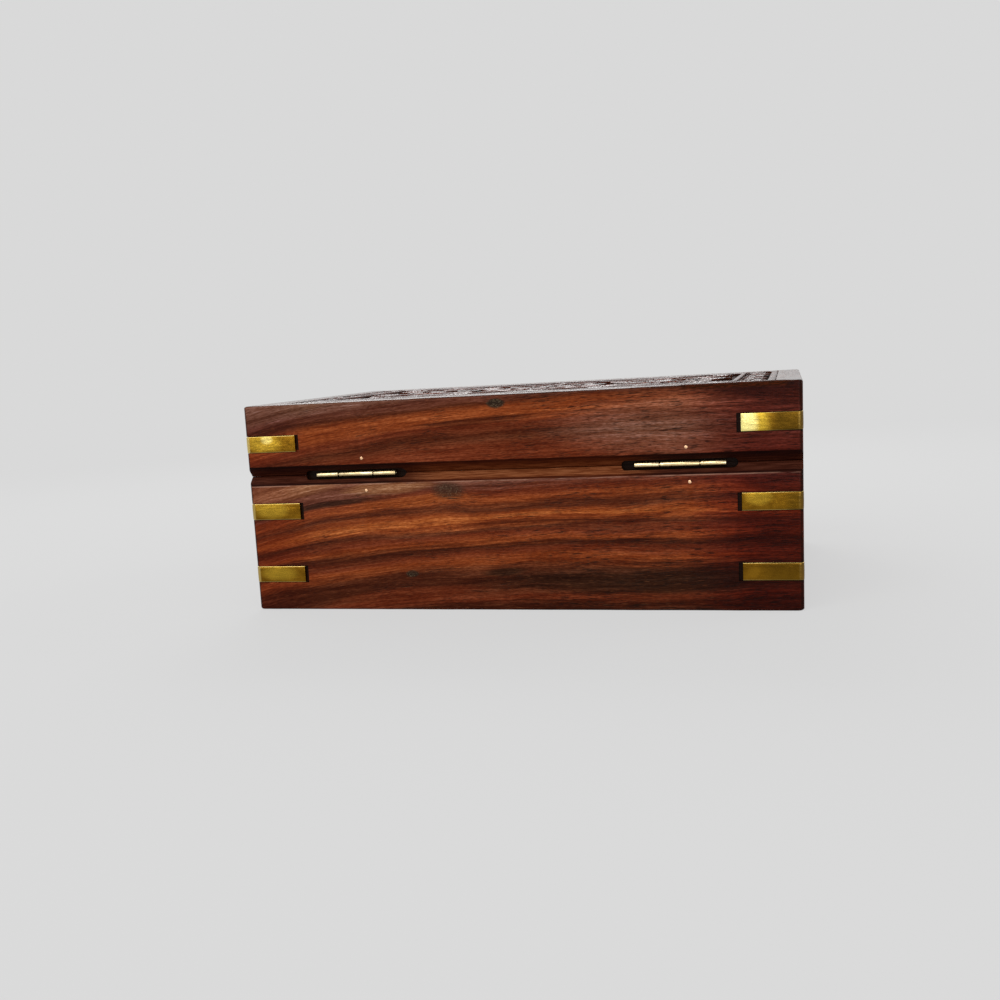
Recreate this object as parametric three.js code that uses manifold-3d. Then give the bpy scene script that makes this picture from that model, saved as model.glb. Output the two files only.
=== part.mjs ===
// A carved jewelry box: a mitred hardwood case sawn apart into a base and a lid, with a V-shaped groove
// along the parting at the rear, a top panel carved with foliage, brass straps let in round the
// corners, two brass hinges whose leaves stand in saw kerfs, and a velvet lining.
// Millimetres, +Z up. The origin is the middle of the underside. The front faces -Y and the hinges
// are at the rear, +Y. Left and right are as seen from the front, so left is -X.

import * as THREE from 'three';
import { mergeVertices } from 'three/addons/utils/BufferGeometryUtils.js';
import Module from 'manifold-3d';

const wasm = await Module();
wasm.setup();

// The case
const caseWidth = 203;
const caseDepth = 146;
const caseHeight = 78.3;
const partingHeight = 51.35;
const partingGap = 0.3;
const boardThickness = 12;
const cornerRadius = 1.6;
const bottomArris = 0.8;
const topArris = 1.1;
const glueLine = 0.1;
const overrun = 2;

// The groove along the rear edges of base and lid. It lets the lid turn back over the barrels.
const grooveHalfHeight = 3.45;
const grooveDepth = 3.55;
const grooveArris = 0.4;

// The bottom panel and its rebate
const bottomThickness = 5;
const bottomRebate = 6;
const panelClearance = 0.15;

// The carved top panel and its rebate
const topMargin = 8.8;
const topThickness = 7;
const topBevel = 0.7;

// The carving: a vine in the border, then a rosette, four scrolls and fans of leaves in the field
const carvingDepth = 1.2;
const outerFillet = 2.4;
const borderBand = 11;
const innerFillet = 1.6;
const pocketCorner = 1;
const stemWidth = 1.7;
const vinePitch = 13;
const vineWave = 2.1;
const vineLeafLength = 10.4;
const vineLeafWidth = 4.5;
const cornerLeafLength = 9.5;
const cornerLeafWidth = 3.8;
const bossRadius = 4;
const petalGap = 0.9;
const innerPetals = 8;
const innerPetalLength = 8.2;
const innerPetalWidth = 5.6;
const ringWidth = 1.5;
const outerPetals = 16;
const outerPetalLength = 9.6;
const outerPetalWidth = 6.6;
const scrollFromEnd = 32.55;
const scrollFromSide = 25.85;
const scrollRadius = 16.2;
const scrollEye = 7;
const scrollTurns = 1.2;
const scrollLeaves = 7;
const scrollLeafLength = 13.2;
const scrollLeafWidth = 6.2;
const tailFootX = 2.5;
const tailReach = 14;
const tailLeafLength = 13;
const flowerPetals = 6;
const flowerRadius = 5.2;
const flowerEye = 1.4;
const flowerPetalWidth = 3.2;
const fanLeafLength = 16;
const fanLeafWidth = 5.6;
const fanGap = 2.2;
const endFanFromEnd = 15.05;
const endFanLength = 13;
const endFanWidth = 4.6;
const cornerFanFromEnd = 12.55;
const cornerFanFromSide = 9.55;
const cornerFanLength = 11;

// The corner straps
const strapWidth = 6.15;
const strapLength = 20.2;
const strapThickness = 0.9;
const strapProud = 0.12;
const strapSideGap = 0.15;
const strapEndGap = 0.9;
const lowerStrapHeight = 13.85;
const upperStrapHeight = 38.1;
const lidStrapHeight = 64.35;
const lidStrapSkew = 0.6;

// The hinges
const hingeLength = 31.2;
const leftHingeFromEnd = 40.88;
const rightHingeFromEnd = 42.82;
const hingeInset = 2.9;
const barrelRadius = 1.1;
const pinRadius = 0.5;
const pinClearance = 0.09;
const endKnuckle = 8.5;
const knuckleGap = 0.45;
const leafThickness = 0.6;
const leafHeight = 9.6;
const leafGap = 0.5;
const kerfClearance = 0.15;
const slotHalfHeight = 1.7;
const slotDepth = 5;
const slotReachLeft = 4;
const slotReachRight = 4.7;

// The brads that pin the leaves in their kerfs
const bradRadius = 0.7;
const bradLength = 8;
const bradTip = 1;
const bradProud = 0.1;
const bradHeight = 6;
const bradClearance = 0.1;
const lidBradOffset = -2.9;
const baseBradOffset = -3.95;
const bradSkew = 0.53;

// The velvet lining
const liningThickness = 1.5;
const liningDrop = 1.2;
const liningGap = 0.2;
const floorPadThickness = 3.4;
const lidPadThickness = 2.8;
const padEdgeShare = 0.45;
const padCorner = 2.5;
const padGap = 0.35;

// Facets
const cornerSteps = 3;
const arrisSteps = 3;
const roundSteps = 12;
const smallRoundSteps = 8;
const slotSteps = 6;
const crownSteps = 4;
const smallLeafSteps = 4;
const leafSteps = 6;
const vineSteps = 4;
const scrollSteps = 22;
const tailSteps = 5;

// Places worked out from the sizes above
const halfWidth = caseWidth / 2;
const halfDepth = caseDepth / 2;
const baseTop = partingHeight - partingGap / 2;
const lidBottom = partingHeight + partingGap / 2;
const cavityHalfWidth = halfWidth - boardThickness;
const cavityHalfDepth = halfDepth - boardThickness;
const panelHalfWidth = halfWidth - topMargin - panelClearance;
const panelHalfDepth = halfDepth - topMargin - panelClearance;
const panelUnderside = caseHeight - topThickness;
const axisY = halfDepth - hingeInset;
const leafFront = axisY - barrelRadius;
const hinges = { left: leftHingeFromEnd - halfWidth, right: halfWidth - rightHingeFromEnd };

const fieldHalfWidth = panelHalfWidth - outerFillet - borderBand - innerFillet;
const fieldHalfDepth = panelHalfDepth - outerFillet - borderBand - innerFillet;
const scrollX = fieldHalfWidth - scrollFromEnd;
const scrollY = fieldHalfDepth - scrollFromSide;
const endFanX = fieldHalfWidth - endFanFromEnd;
const cornerFanX = fieldHalfWidth - cornerFanFromEnd;
const cornerFanY = fieldHalfDepth - cornerFanFromSide;
const ringOuter = bossRadius + innerPetalLength + 2 * petalGap + ringWidth;
const fanFootY = ringOuter + petalGap + outerPetalLength + fanGap;

// How leaves lie: angles, and shares of a leaf's own length and turn
const leafBellyShare = 0.8;
const fanSpread = Math.PI / 5.5;
const fanCurlShare = 0.35;
const scrollStart = Math.PI * 2 / 3;
const scrollLeafSplay = Math.PI / 3.2;
const scrollLeafSpanShare = 0.68;
const scrollTightenShare = 1.5;
const tailLeafShare = 0.55;
const vineLeafSplay = Math.PI / 4.5;

const wood = new THREE.MeshStandardMaterial({ color: 0x5a2a1c, roughness: 0.32, metalness: 0 });
const carvedWood = new THREE.MeshStandardMaterial({ color: 0x4c2418, roughness: 0.4, metalness: 0 });
const panelWood = new THREE.MeshStandardMaterial({ color: 0x4a2a1e, roughness: 0.6, metalness: 0 });
const brass = new THREE.MeshStandardMaterial({ color: 0xb08a3c, roughness: 0.3, metalness: 1 });
const velvet = new THREE.MeshStandardMaterial({ color: 0x5c0f1a, roughness: 0.95, metalness: 0 });

const box = new THREE.Group();

function addPiece(name, geometry, material) {
  const mesh = new THREE.Mesh(geometry, material);
  mesh.name = name;
  box.add(mesh);
}

// A closed geometry as a solid for joining and cutting
function solid(geometry) {
  const bare = geometry.clone();
  bare.deleteAttribute('normal');
  bare.deleteAttribute('uv');
  const merged = mergeVertices(bare);
  const vertProperties = new Float32Array(merged.attributes.position.array);
  const triVerts = new Uint32Array(merged.index.array);
  return new wasm.Manifold(new wasm.Mesh({ numProp: 3, vertProperties, triVerts }));
}

function toGeometry(manifold) {
  const mesh = manifold.getMesh();
  const geometry = new THREE.BufferGeometry();
  geometry.setAttribute('position', new THREE.BufferAttribute(new Float32Array(mesh.vertProperties), 3));
  geometry.setIndex(new THREE.BufferAttribute(new Uint32Array(mesh.triVerts), 1));
  return geometry;
}

function join(solids) {
  return solids.reduce((sum, one) => sum.add(one));
}

function block(x0, x1, y0, y1, z0, z1) {
  const geometry = new THREE.BoxGeometry(x1 - x0, y1 - y0, z1 - z0);
  geometry.translate((x0 + x1) / 2, (y0 + y1) / 2, (z0 + z1) / 2);
  return geometry;
}

// An outline in the XY plane, raised from z0 to z1
function prism(points, z0, z1) {
  const shape = new THREE.Shape(points.map(([x, y]) => new THREE.Vector2(x, y)));
  const geometry = new THREE.ExtrudeGeometry(shape, { depth: z1 - z0, bevelEnabled: false });
  geometry.translate(0, 0, z0);
  return geometry;
}

// A round bar along the X axis
function barAlongX(radius, x0, x1, y, z) {
  const geometry = new THREE.CylinderGeometry(radius, radius, x1 - x0, roundSteps);
  geometry.rotateZ(Math.PI / 2);
  geometry.translate((x0 + x1) / 2, y, z);
  return geometry;
}

// A round bar along the Y axis
function barAlongY(radius, y0, y1, x, z) {
  const geometry = new THREE.CylinderGeometry(radius, radius, y1 - y0, roundSteps);
  geometry.translate(x, (y0 + y1) / 2, z);
  return geometry;
}

function roundedRectangle(halfX, halfY, radius) {
  const points = [];
  [[1, -1], [1, 1], [-1, 1], [-1, -1]].forEach(([sx, sy], corner) => {
    for (let i = 0; i <= cornerSteps; i += 1) {
      const angle = (corner - 1 + i / cornerSteps) * Math.PI / 2;
      points.push([
        sx * (halfX - radius) + radius * Math.cos(angle),
        sy * (halfY - radius) + radius * Math.sin(angle),
      ]);
    }
  });
  return points;
}

// A closed solid through rounded rectangles at rising heights, each drawn in by its inset
function stack(halfX, halfY, radius, levels) {
  const rings = levels.map(([z, inset]) => (
    roundedRectangle(halfX - inset, halfY - inset, radius).map(([x, y]) => [x, y, z])));
  const count = rings[0].length;
  const positions = rings.flat(2);
  const index = [];
  for (let level = 0; level + 1 < rings.length; level += 1) {
    for (let i = 0; i < count; i += 1) {
      const a = level * count + i;
      const b = level * count + (i + 1) % count;
      index.push(a, b, b + count, a, b + count, a + count);
    }
  }
  const last = (rings.length - 1) * count;
  for (let i = 1; i + 1 < count; i += 1) {
    index.push(0, i + 1, i, last, last + i, last + i + 1);
  }
  const geometry = new THREE.BufferGeometry();
  geometry.setAttribute('position', new THREE.BufferAttribute(new Float32Array(positions), 3));
  geometry.setIndex(index);
  return geometry;
}

// Levels of a rounded top edge that end at height z
function roundedTop(z, radius) {
  const levels = [];
  for (let i = 0; i <= arrisSteps; i += 1) {
    const angle = (i / arrisSteps) * Math.PI / 2;
    levels.push([z - radius * (1 - Math.sin(angle)), radius * (1 - Math.cos(angle))]);
  }
  return levels;
}

// The plan of one mitred side: the outside face, cut off at 45 degrees at both ends
function mitredPlan(side) {
  const shift = glueLine / Math.SQRT2;
  const reach = boardThickness + overrun;
  const alongX = side === 'front' || side === 'rear';
  const [along, across] = alongX ? [halfWidth, halfDepth] : [halfDepth, halfWidth];
  const sign = side === 'rear' || side === 'right' ? 1 : -1;
  const outer = along + overrun - shift;
  const inner = along - reach - shift;
  const plan = [
    [-outer, across + overrun], [outer, across + overrun], [inner, across - reach], [-inner, across - reach],
  ].map(([u, v]) => [u, sign * v]);
  return alongX ? plan : plan.map(([u, v]) => [v, u]);
}

// A span on one side of the middle, lowest end first
function span(sign, from, to) {
  return sign > 0 ? [from, to] : [-to, -from];
}

// Pockets for one strap round one corner
function strapPocket(sx, sy, height) {
  const depth = strapThickness - strapProud + glueLine;
  const reach = strapWidth / 2 + strapSideGap;
  const end = strapLength + strapEndGap;
  const heights = [height - reach, height + reach];
  const arms = [[end, depth], [depth, end]].map(([inX, inY]) => block(
    ...span(sx, halfWidth - inX, halfWidth + overrun),
    ...span(sy, halfDepth - inY, halfDepth + overrun), ...heights));
  return join(arms.map(solid));
}

const corners = {
  front_left: [-1, -1], front_right: [1, -1], rear_left: [-1, 1], rear_right: [1, 1],
};

// The lid straps at the rear are a little out of line, as hand fitted ones are
function lidStrapAt(sx, sy) {
  return lidStrapHeight - (sy > 0 ? sx * lidStrapSkew : 0);
}

function strapHeights(part, sx, sy) {
  return part === 'lid' ? [lidStrapAt(sx, sy)] : [lowerStrapHeight, upperStrapHeight];
}

// A slot with round ends, milled from the rear along the barrel of one hinge
function barrelSlot(x) {
  const left = x - hingeLength / 2 - slotReachLeft + slotHalfHeight;
  const right = x + hingeLength / 2 + slotReachRight - slotHalfHeight;
  const points = [];
  for (let i = 0; i <= slotSteps; i += 1) {
    const angle = -Math.PI / 2 + (i / slotSteps) * Math.PI;
    points.push([right + slotHalfHeight * Math.cos(angle), slotHalfHeight * Math.sin(angle)]);
  }
  for (let i = 0; i <= slotSteps; i += 1) {
    const angle = Math.PI / 2 + (i / slotSteps) * Math.PI;
    points.push([left + slotHalfHeight * Math.cos(angle), slotHalfHeight * Math.sin(angle)]);
  }
  const geometry = prism(points, 0, slotDepth + overrun);
  geometry.rotateX(Math.PI / 2);
  geometry.translate(0, halfDepth + overrun, partingHeight);
  return geometry;
}

// The saw kerf that takes one leaf. Up is 1 in the lid and -1 in the base.
function leafKerf(x, up) {
  const reach = hingeLength / 2 + kerfClearance;
  const end = partingHeight + up * (leafHeight + kerfClearance);
  return block(
    x - reach, x + reach, leafFront - kerfClearance, leafFront + leafThickness + kerfClearance,
    Math.min(partingHeight, end), Math.max(partingHeight, end));
}

function bradPlace(x, up) {
  const offset = (up > 0 ? lidBradOffset : baseBradOffset) - Math.sign(x) * bradSkew;
  return [x + offset, partingHeight + up * bradHeight];
}

function bradHole(x, up) {
  const [bradX, bradZ] = bradPlace(x, up);
  const bottom = halfDepth - bradLength - bradClearance;
  return barAlongY(bradRadius + bradClearance, bottom, halfDepth + overrun, bradX, bradZ);
}

// What the straps, hinges and brads take out of the walls of one half of the case
function fittingCuts(part) {
  const up = part === 'lid' ? 1 : -1;
  const straps = Object.values(corners).flatMap(([sx, sy]) => (
    strapHeights(part, sx, sy).map((height) => strapPocket(sx, sy, height))));
  const hingeCuts = Object.values(hinges).flatMap((x) => (
    [barrelSlot(x), leafKerf(x, up), bradHole(x, up)].map(solid)));
  return join([...straps, ...hingeCuts]);
}

function cavity(z0, z1) {
  return solid(block(-cavityHalfWidth, cavityHalfWidth, -cavityHalfDepth, cavityHalfDepth, z0, z1));
}

// One flank of the groove, cut along the whole rear. Up is 1 in the lid and -1 in the base.
function grooveCut(up) {
  const mouth = partingHeight + up * grooveHalfHeight;
  const root = partingHeight + up * partingGap / 2;
  const slope = (mouth - root) / grooveDepth;
  const past = partingHeight - up * overrun;
  const points = [
    [halfDepth + overrun, mouth + up * grooveArris],
    [halfDepth, mouth + up * grooveArris],
    [halfDepth - grooveArris, mouth - slope * grooveArris],
    [halfDepth - grooveDepth, root],
    [halfDepth - grooveDepth, past],
    [halfDepth + overrun, past],
  ];
  const geometry = prism(points, -halfWidth - overrun, halfWidth + overrun);
  geometry.rotateX(Math.PI / 2);
  geometry.rotateZ(Math.PI / 2);
  return solid(geometry);
}

function baseCarcass() {
  const levels = [[0, bottomArris], [bottomArris, 0], [baseTop, 0]];
  const outside = stack(halfWidth, halfDepth, cornerRadius, levels);
  const rebate = block(
    -cavityHalfWidth - bottomRebate, cavityHalfWidth + bottomRebate,
    -cavityHalfDepth - bottomRebate, cavityHalfDepth + bottomRebate,
    -overrun, bottomThickness + panelClearance);
  const inside = cavity(-overrun, baseTop + overrun);
  const cuts = [inside, solid(rebate), grooveCut(-1), fittingCuts('base')];
  return solid(outside).subtract(join(cuts));
}

function lidCarcass() {
  const levels = [[lidBottom, 0], ...roundedTop(caseHeight, topArris)];
  const outside = stack(halfWidth, halfDepth, cornerRadius, levels);
  const rebate = block(
    topMargin - halfWidth, halfWidth - topMargin, topMargin - halfDepth, halfDepth - topMargin,
    panelUnderside - panelClearance, caseHeight + overrun);
  const inside = cavity(lidBottom - overrun, caseHeight + overrun);
  const cuts = [inside, solid(rebate), grooveCut(1), fittingCuts('lid')];
  return solid(outside).subtract(join(cuts));
}

function addBoards(part, carcass) {
  ['front', 'rear', 'left', 'right'].forEach((side) => {
    const plan = prism(mitredPlan(side), -overrun, caseHeight + overrun);
    addPiece(`${part}_${side}_board`, toGeometry(carcass.intersect(solid(plan))), wood);
  });
}

function addBottomPanel() {
  const halfX = cavityHalfWidth + bottomRebate - panelClearance;
  const halfY = cavityHalfDepth + bottomRebate - panelClearance;
  addPiece('base_bottom_panel', block(-halfX, halfX, -halfY, halfY, 0, bottomThickness), panelWood);
}

// A strap bent round one corner, seen from above, then raised to its width
function strap(sx, sy, height) {
  const outerX = halfWidth + strapProud;
  const outerY = halfDepth + strapProud;
  const radius = cornerRadius + strapProud;
  const points = [[halfWidth - strapLength, outerY]];
  for (let i = 0; i <= cornerSteps; i += 1) {
    const angle = Math.PI / 2 - (i / cornerSteps) * Math.PI / 2;
    points.push([outerX - radius + radius * Math.cos(angle), outerY - radius + radius * Math.sin(angle)]);
  }
  points.push([outerX, halfDepth - strapLength]);
  points.push([outerX - strapThickness, halfDepth - strapLength]);
  points.push([outerX - strapThickness, outerY - strapThickness]);
  points.push([halfWidth - strapLength, outerY - strapThickness]);
  const placed = points.map(([x, y]) => [sx * x, sy * y]);
  return prism(placed, height - strapWidth / 2, height + strapWidth / 2);
}

function addStraps() {
  Object.entries(corners).forEach(([corner, [sx, sy]]) => {
    addPiece(`lid_strap_${corner}`, strap(sx, sy, lidStrapAt(sx, sy)), brass);
    addPiece(`base_upper_strap_${corner}`, strap(sx, sy, upperStrapHeight), brass);
    addPiece(`base_lower_strap_${corner}`, strap(sx, sy, lowerStrapHeight), brass);
  });
}

// The knuckles of one leaf along the barrel, as spans of X about the middle of the hinge
function knuckleSpans(up) {
  const half = hingeLength / 2;
  const inner = half - endKnuckle;
  return up > 0 ? [[knuckleGap - inner, inner - knuckleGap]] : [[-half, -inner], [inner, half]];
}

function hingeLeaf(x, up) {
  const half = hingeLength / 2;
  const start = partingHeight + up * (barrelRadius + leafGap);
  const end = partingHeight + up * leafHeight;
  const back = leafFront + leafThickness;
  const plate = block(x - half, x + half, leafFront, back, Math.min(start, end), Math.max(start, end));
  const middle = (start + end) / 2;
  const knuckles = knuckleSpans(up).flatMap(([x0, x1]) => [
    barAlongX(barrelRadius, x + x0, x + x1, axisY, partingHeight),
    block(x + x0, x + x1, leafFront, back, Math.min(partingHeight, middle), Math.max(partingHeight, middle)),
  ]);
  const bore = barAlongX(
    pinRadius + pinClearance, x - half - overrun, x + half + overrun, axisY, partingHeight);
  const holes = [bore, bradHole(x, up)].map(solid);
  return toGeometry(join([plate, ...knuckles].map(solid)).subtract(join(holes)));
}

// A brad lies along Y with its point to the front and its domed head at the rear face
function brad(x, up) {
  const [bradX, bradZ] = bradPlace(x, up);
  const shoulder = bradLength - bradProud;
  const profile = [
    [0, 0], [bradRadius / 2, 0], [bradRadius, bradTip], [bradRadius, shoulder],
    [bradRadius / 2, bradLength], [0, bradLength],
  ].map(([r, y]) => new THREE.Vector2(r, y));
  const geometry = new THREE.LatheGeometry(profile, roundSteps);
  geometry.translate(bradX, halfDepth + bradProud - bradLength, bradZ);
  return geometry;
}

function addHinges() {
  Object.entries(hinges).forEach(([side, x]) => {
    const half = hingeLength / 2;
    addPiece(`hinge_${side}_upper_leaf`, hingeLeaf(x, 1), brass);
    addPiece(`hinge_${side}_lower_leaf`, hingeLeaf(x, -1), brass);
    addPiece(`hinge_${side}_pin`, barAlongX(pinRadius, x - half, x + half, axisY, partingHeight), brass);
    addPiece(`hinge_${side}_upper_brad`, brad(x, 1), brass);
    addPiece(`hinge_${side}_lower_brad`, brad(x, -1), brass);
  });
}

// Velvet-covered cards on the four walls of one half of the case
function addWallLinings(part, z0, z1) {
  const outerX = cavityHalfWidth - glueLine;
  const outerY = cavityHalfDepth - glueLine;
  const sideY = outerY - liningThickness - liningGap;
  const cards = {
    front: [-outerX, outerX, -outerY, liningThickness - outerY],
    rear: [-outerX, outerX, outerY - liningThickness, outerY],
    left: [-outerX, liningThickness - outerX, -sideY, sideY],
    right: [outerX - liningThickness, outerX, -sideY, sideY],
  };
  Object.entries(cards).forEach(([side, span]) => {
    addPiece(`${part}_${side}_lining`, block(...span, z0, z1), velvet);
  });
}

// A pad that crowns from its edge to its middle. Up is 1 where the crown faces up.
function pad(z, thickness, up) {
  const halfX = cavityHalfWidth - glueLine - liningThickness - padGap;
  const halfY = cavityHalfDepth - glueLine - liningThickness - padGap;
  const edge = thickness * padEdgeShare;
  const levels = [[0, edge / 2], [edge / 2, 0], [edge, 0]];
  const crown = thickness - edge;
  for (let i = 1; i <= crownSteps; i += 1) {
    const angle = (i / crownSteps) * Math.PI / 2;
    levels.push([edge + crown * Math.sin(angle), (halfY / 2) * (1 - Math.cos(angle))]);
  }
  const geometry = stack(halfX, halfY, padCorner, levels);
  if (up < 0) geometry.rotateX(Math.PI);
  geometry.translate(0, 0, z);
  return geometry;
}

function addLining() {
  addWallLinings('base', bottomThickness + liningGap, baseTop - liningDrop);
  addWallLinings('lid', lidBottom + liningDrop, panelUnderside - liningGap);
  addPiece('base_floor_pad', pad(bottomThickness + glueLine, floorPadThickness, 1), velvet);
  addPiece('lid_ceiling_pad', pad(panelUnderside - glueLine, lidPadThickness, -1), velvet);
}

// The outline of a pointed leaf with its foot at (x, y). It bends by the angle bend along its length.
function leafOutline(x, y, angle, length, width, bend, steps) {
  const left = [];
  const right = [];
  for (let i = 0; i <= steps; i += 1) {
    const t = i / steps;
    const heading = angle + bend * t;
    const chord = angle + bend * t / 2;
    const half = (width / 2) * Math.sin(Math.PI * t ** leafBellyShare);
    const cx = x + length * t * Math.cos(chord);
    const cy = y + length * t * Math.sin(chord);
    if (i === 0 || i === steps) {
      left.push([cx, cy]);
    } else {
      left.push([cx - half * Math.sin(heading), cy + half * Math.cos(heading)]);
      right.unshift([cx + half * Math.sin(heading), cy - half * Math.cos(heading)]);
    }
  }
  return [...left, ...right];
}

function circleOutline(x, y, radius, steps) {
  const points = [];
  for (let i = 0; i < steps; i += 1) {
    const angle = (i / steps) * 2 * Math.PI;
    points.push([x + radius * Math.cos(angle), y + radius * Math.sin(angle)]);
  }
  return points;
}

// A band of stem width along a line of points
function stemOutline(points) {
  const left = [];
  const right = [];
  points.forEach(([x, y], i) => {
    const [x0, y0] = points[Math.max(i - 1, 0)];
    const [x1, y1] = points[Math.min(i + 1, points.length - 1)];
    const reach = Math.hypot(x1 - x0, y1 - y0);
    const nx = (stemWidth / 2) * (y0 - y1) / reach;
    const ny = (stemWidth / 2) * (x1 - x0) / reach;
    left.push([x + nx, y + ny]);
    right.unshift([x - nx, y - ny]);
  });
  return [...left, ...right];
}

// Petals all round (x, y), from the radius foot outwards
function petalRing(x, y, foot, count, length, width) {
  const outlines = [];
  for (let i = 0; i < count; i += 1) {
    const angle = (i / count) * 2 * Math.PI;
    const px = x + foot * Math.cos(angle);
    const py = y + foot * Math.sin(angle);
    outlines.push(leafOutline(px, py, angle, length, width, 0, smallLeafSteps));
  }
  return outlines;
}

// Leaves spread like a fan about the angle, the middle one longest
function fan(x, y, angle, length, width, spreads) {
  return spreads.map((spread) => {
    const side = Math.abs(spread) / Math.PI;
    const leaf = length * (1 - side);
    return leafOutline(x, y, angle + spread, leaf, width, spread * fanCurlShare, leafSteps);
  });
}

// A point of the spiral that a scroll's stem follows, with its angle
function spiralPoint(share) {
  const angle = scrollStart - share * scrollTurns * 2 * Math.PI;
  const radius = scrollRadius + (scrollEye - scrollRadius) * share ** scrollTightenShare;
  return [scrollX + radius * Math.cos(angle), scrollY + radius * Math.sin(angle), angle];
}

// The stem's tail: a bend from the fan's foot that runs into the spiral without a kink
function tailPoint(share) {
  const [x1, y1] = spiralPoint(0);
  const [mx, my] = [x1 - tailReach * Math.sin(scrollStart), y1 + tailReach * Math.cos(scrollStart)];
  const [a, b, c] = [(1 - share) ** 2, 2 * share * (1 - share), share ** 2];
  return [a * tailFootX + b * mx + c * x1, a * fanFootY + b * my + c * y1];
}

// One scroll: a stem that winds in to a flower, with leaves along its outside and a fan in the corner
function scrollOutlines() {
  const stem = [];
  for (let i = 0; i < tailSteps; i += 1) stem.push(tailPoint(i / tailSteps));
  for (let i = 0; i <= scrollSteps; i += 1) stem.push(spiralPoint(i / scrollSteps).slice(0, 2));
  const outlines = [stemOutline(stem)];
  for (let i = 0; i < scrollLeaves; i += 1) {
    const [x, y, angle] = spiralPoint(scrollLeafSpanShare * (i + 1 / 2) / scrollLeaves);
    const heading = angle - Math.PI / 2 + scrollLeafSplay;
    outlines.push(leafOutline(x, y, heading, scrollLeafLength, scrollLeafWidth, -scrollLeafSplay, leafSteps));
  }
  const [tailX, tailY] = tailPoint(tailLeafShare);
  outlines.push(leafOutline(
    tailX, tailY, scrollLeafSplay, tailLeafLength, scrollLeafWidth, -scrollLeafSplay / 2, leafSteps));
  outlines.push(circleOutline(scrollX, scrollY, flowerEye, smallRoundSteps));
  const foot = flowerEye + petalGap / 2;
  outlines.push(...petalRing(scrollX, scrollY, foot, flowerPetals, flowerRadius - foot, flowerPetalWidth));
  outlines.push(...fan(
    cornerFanX, cornerFanY, Math.PI / 4, cornerFanLength, cornerLeafWidth, [-fanSpread, 0, fanSpread]));
  return outlines;
}

function mirrored(outlines, sx, sy) {
  return outlines.map((outline) => outline.map(([x, y]) => [sx * x, sy * y]));
}

// Everything that stands up in the middle field
function fieldOutlines() {
  const rosette = [
    circleOutline(0, 0, bossRadius, roundSteps),
    ...petalRing(0, 0, bossRadius + petalGap, innerPetals, innerPetalLength, innerPetalWidth),
    ...petalRing(0, 0, ringOuter + petalGap, outerPetals, outerPetalLength, outerPetalWidth),
  ];
  const quarter = scrollOutlines();
  const fiveLeaves = [-2 * fanSpread, -fanSpread, 0, fanSpread, 2 * fanSpread];
  const topFan = fan(0, fanFootY, Math.PI / 2, fanLeafLength, fanLeafWidth, fiveLeaves);
  const endFan = fan(endFanX, 0, 0, endFanLength, endFanWidth, [-fanSpread, 0, fanSpread]);
  return [
    ...rosette,
    ...mirrored(topFan, 1, 1), ...mirrored(topFan, 1, -1),
    ...mirrored(endFan, 1, 1), ...mirrored(endFan, -1, 1),
    ...Object.values(corners).flatMap(([sx, sy]) => mirrored(quarter, sx, sy)),
  ];
}

// The vine along one side of the border, about its own middle: a waving stem and a leaf in each hollow
function vineOutlines(run) {
  const hollows = Math.max(2, Math.round(run / vinePitch));
  const pitch = run / hollows;
  const stem = [];
  for (let i = 0; i <= hollows * vineSteps; i += 1) {
    stem.push([-run / 2 + i * pitch / vineSteps, vineWave * Math.sin(i * Math.PI / vineSteps)]);
  }
  const outlines = [stemOutline(stem)];
  for (let i = 0; i < hollows; i += 1) {
    const side = i % 2 ? 1 : -1;
    const foot = -run / 2 + i * pitch;
    outlines.push(leafOutline(
      foot, 0, side * vineLeafSplay, vineLeafLength, vineLeafWidth, -side * vineLeafSplay, smallLeafSteps));
  }
  return outlines;
}

function turned(outlines, angle, reach) {
  const c = Math.cos(angle);
  const s = Math.sin(angle);
  const turn = ([u, v]) => [c * u - s * (v + reach), s * u + c * (v + reach)];
  return outlines.map((outline) => outline.map(turn));
}

// Everything that stands up in the border
function borderOutlines() {
  const reachX = panelHalfWidth - outerFillet - borderBand / 2;
  const reachY = panelHalfDepth - outerFillet - borderBand / 2;
  const alongX = vineOutlines(2 * reachX - borderBand);
  const alongY = vineOutlines(2 * reachY - borderBand);
  const foot = borderBand / 2 - fanGap / 2;
  const cornerFan = fan(reachX - foot, reachY - foot, Math.PI / 4, cornerLeafLength, cornerLeafWidth,
    [-fanSpread, 0, fanSpread]);
  return [
    ...turned(alongX, 0, reachY), ...turned(alongX, Math.PI, reachY),
    ...turned(alongY, Math.PI / 2, reachX), ...turned(alongY, -Math.PI / 2, reachX),
    ...Object.values(corners).flatMap(([sx, sy]) => mirrored(cornerFan, sx, sy)),
  ];
}

// The ground cut down between raised outlines, from the top of the panel
function ground(pocket, outlines) {
  const floor = caseHeight - carvingDepth;
  const raised = outlines.map((outline) => solid(prism(outline, floor - overrun, caseHeight + overrun)));
  return pocket.subtract(join(raised));
}

function pocketSolid(inset) {
  const floor = caseHeight - carvingDepth;
  const top = caseHeight + overrun / 2;
  return solid(stack(panelHalfWidth, panelHalfDepth, pocketCorner, [[floor, inset], [top, inset]]));
}

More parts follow.
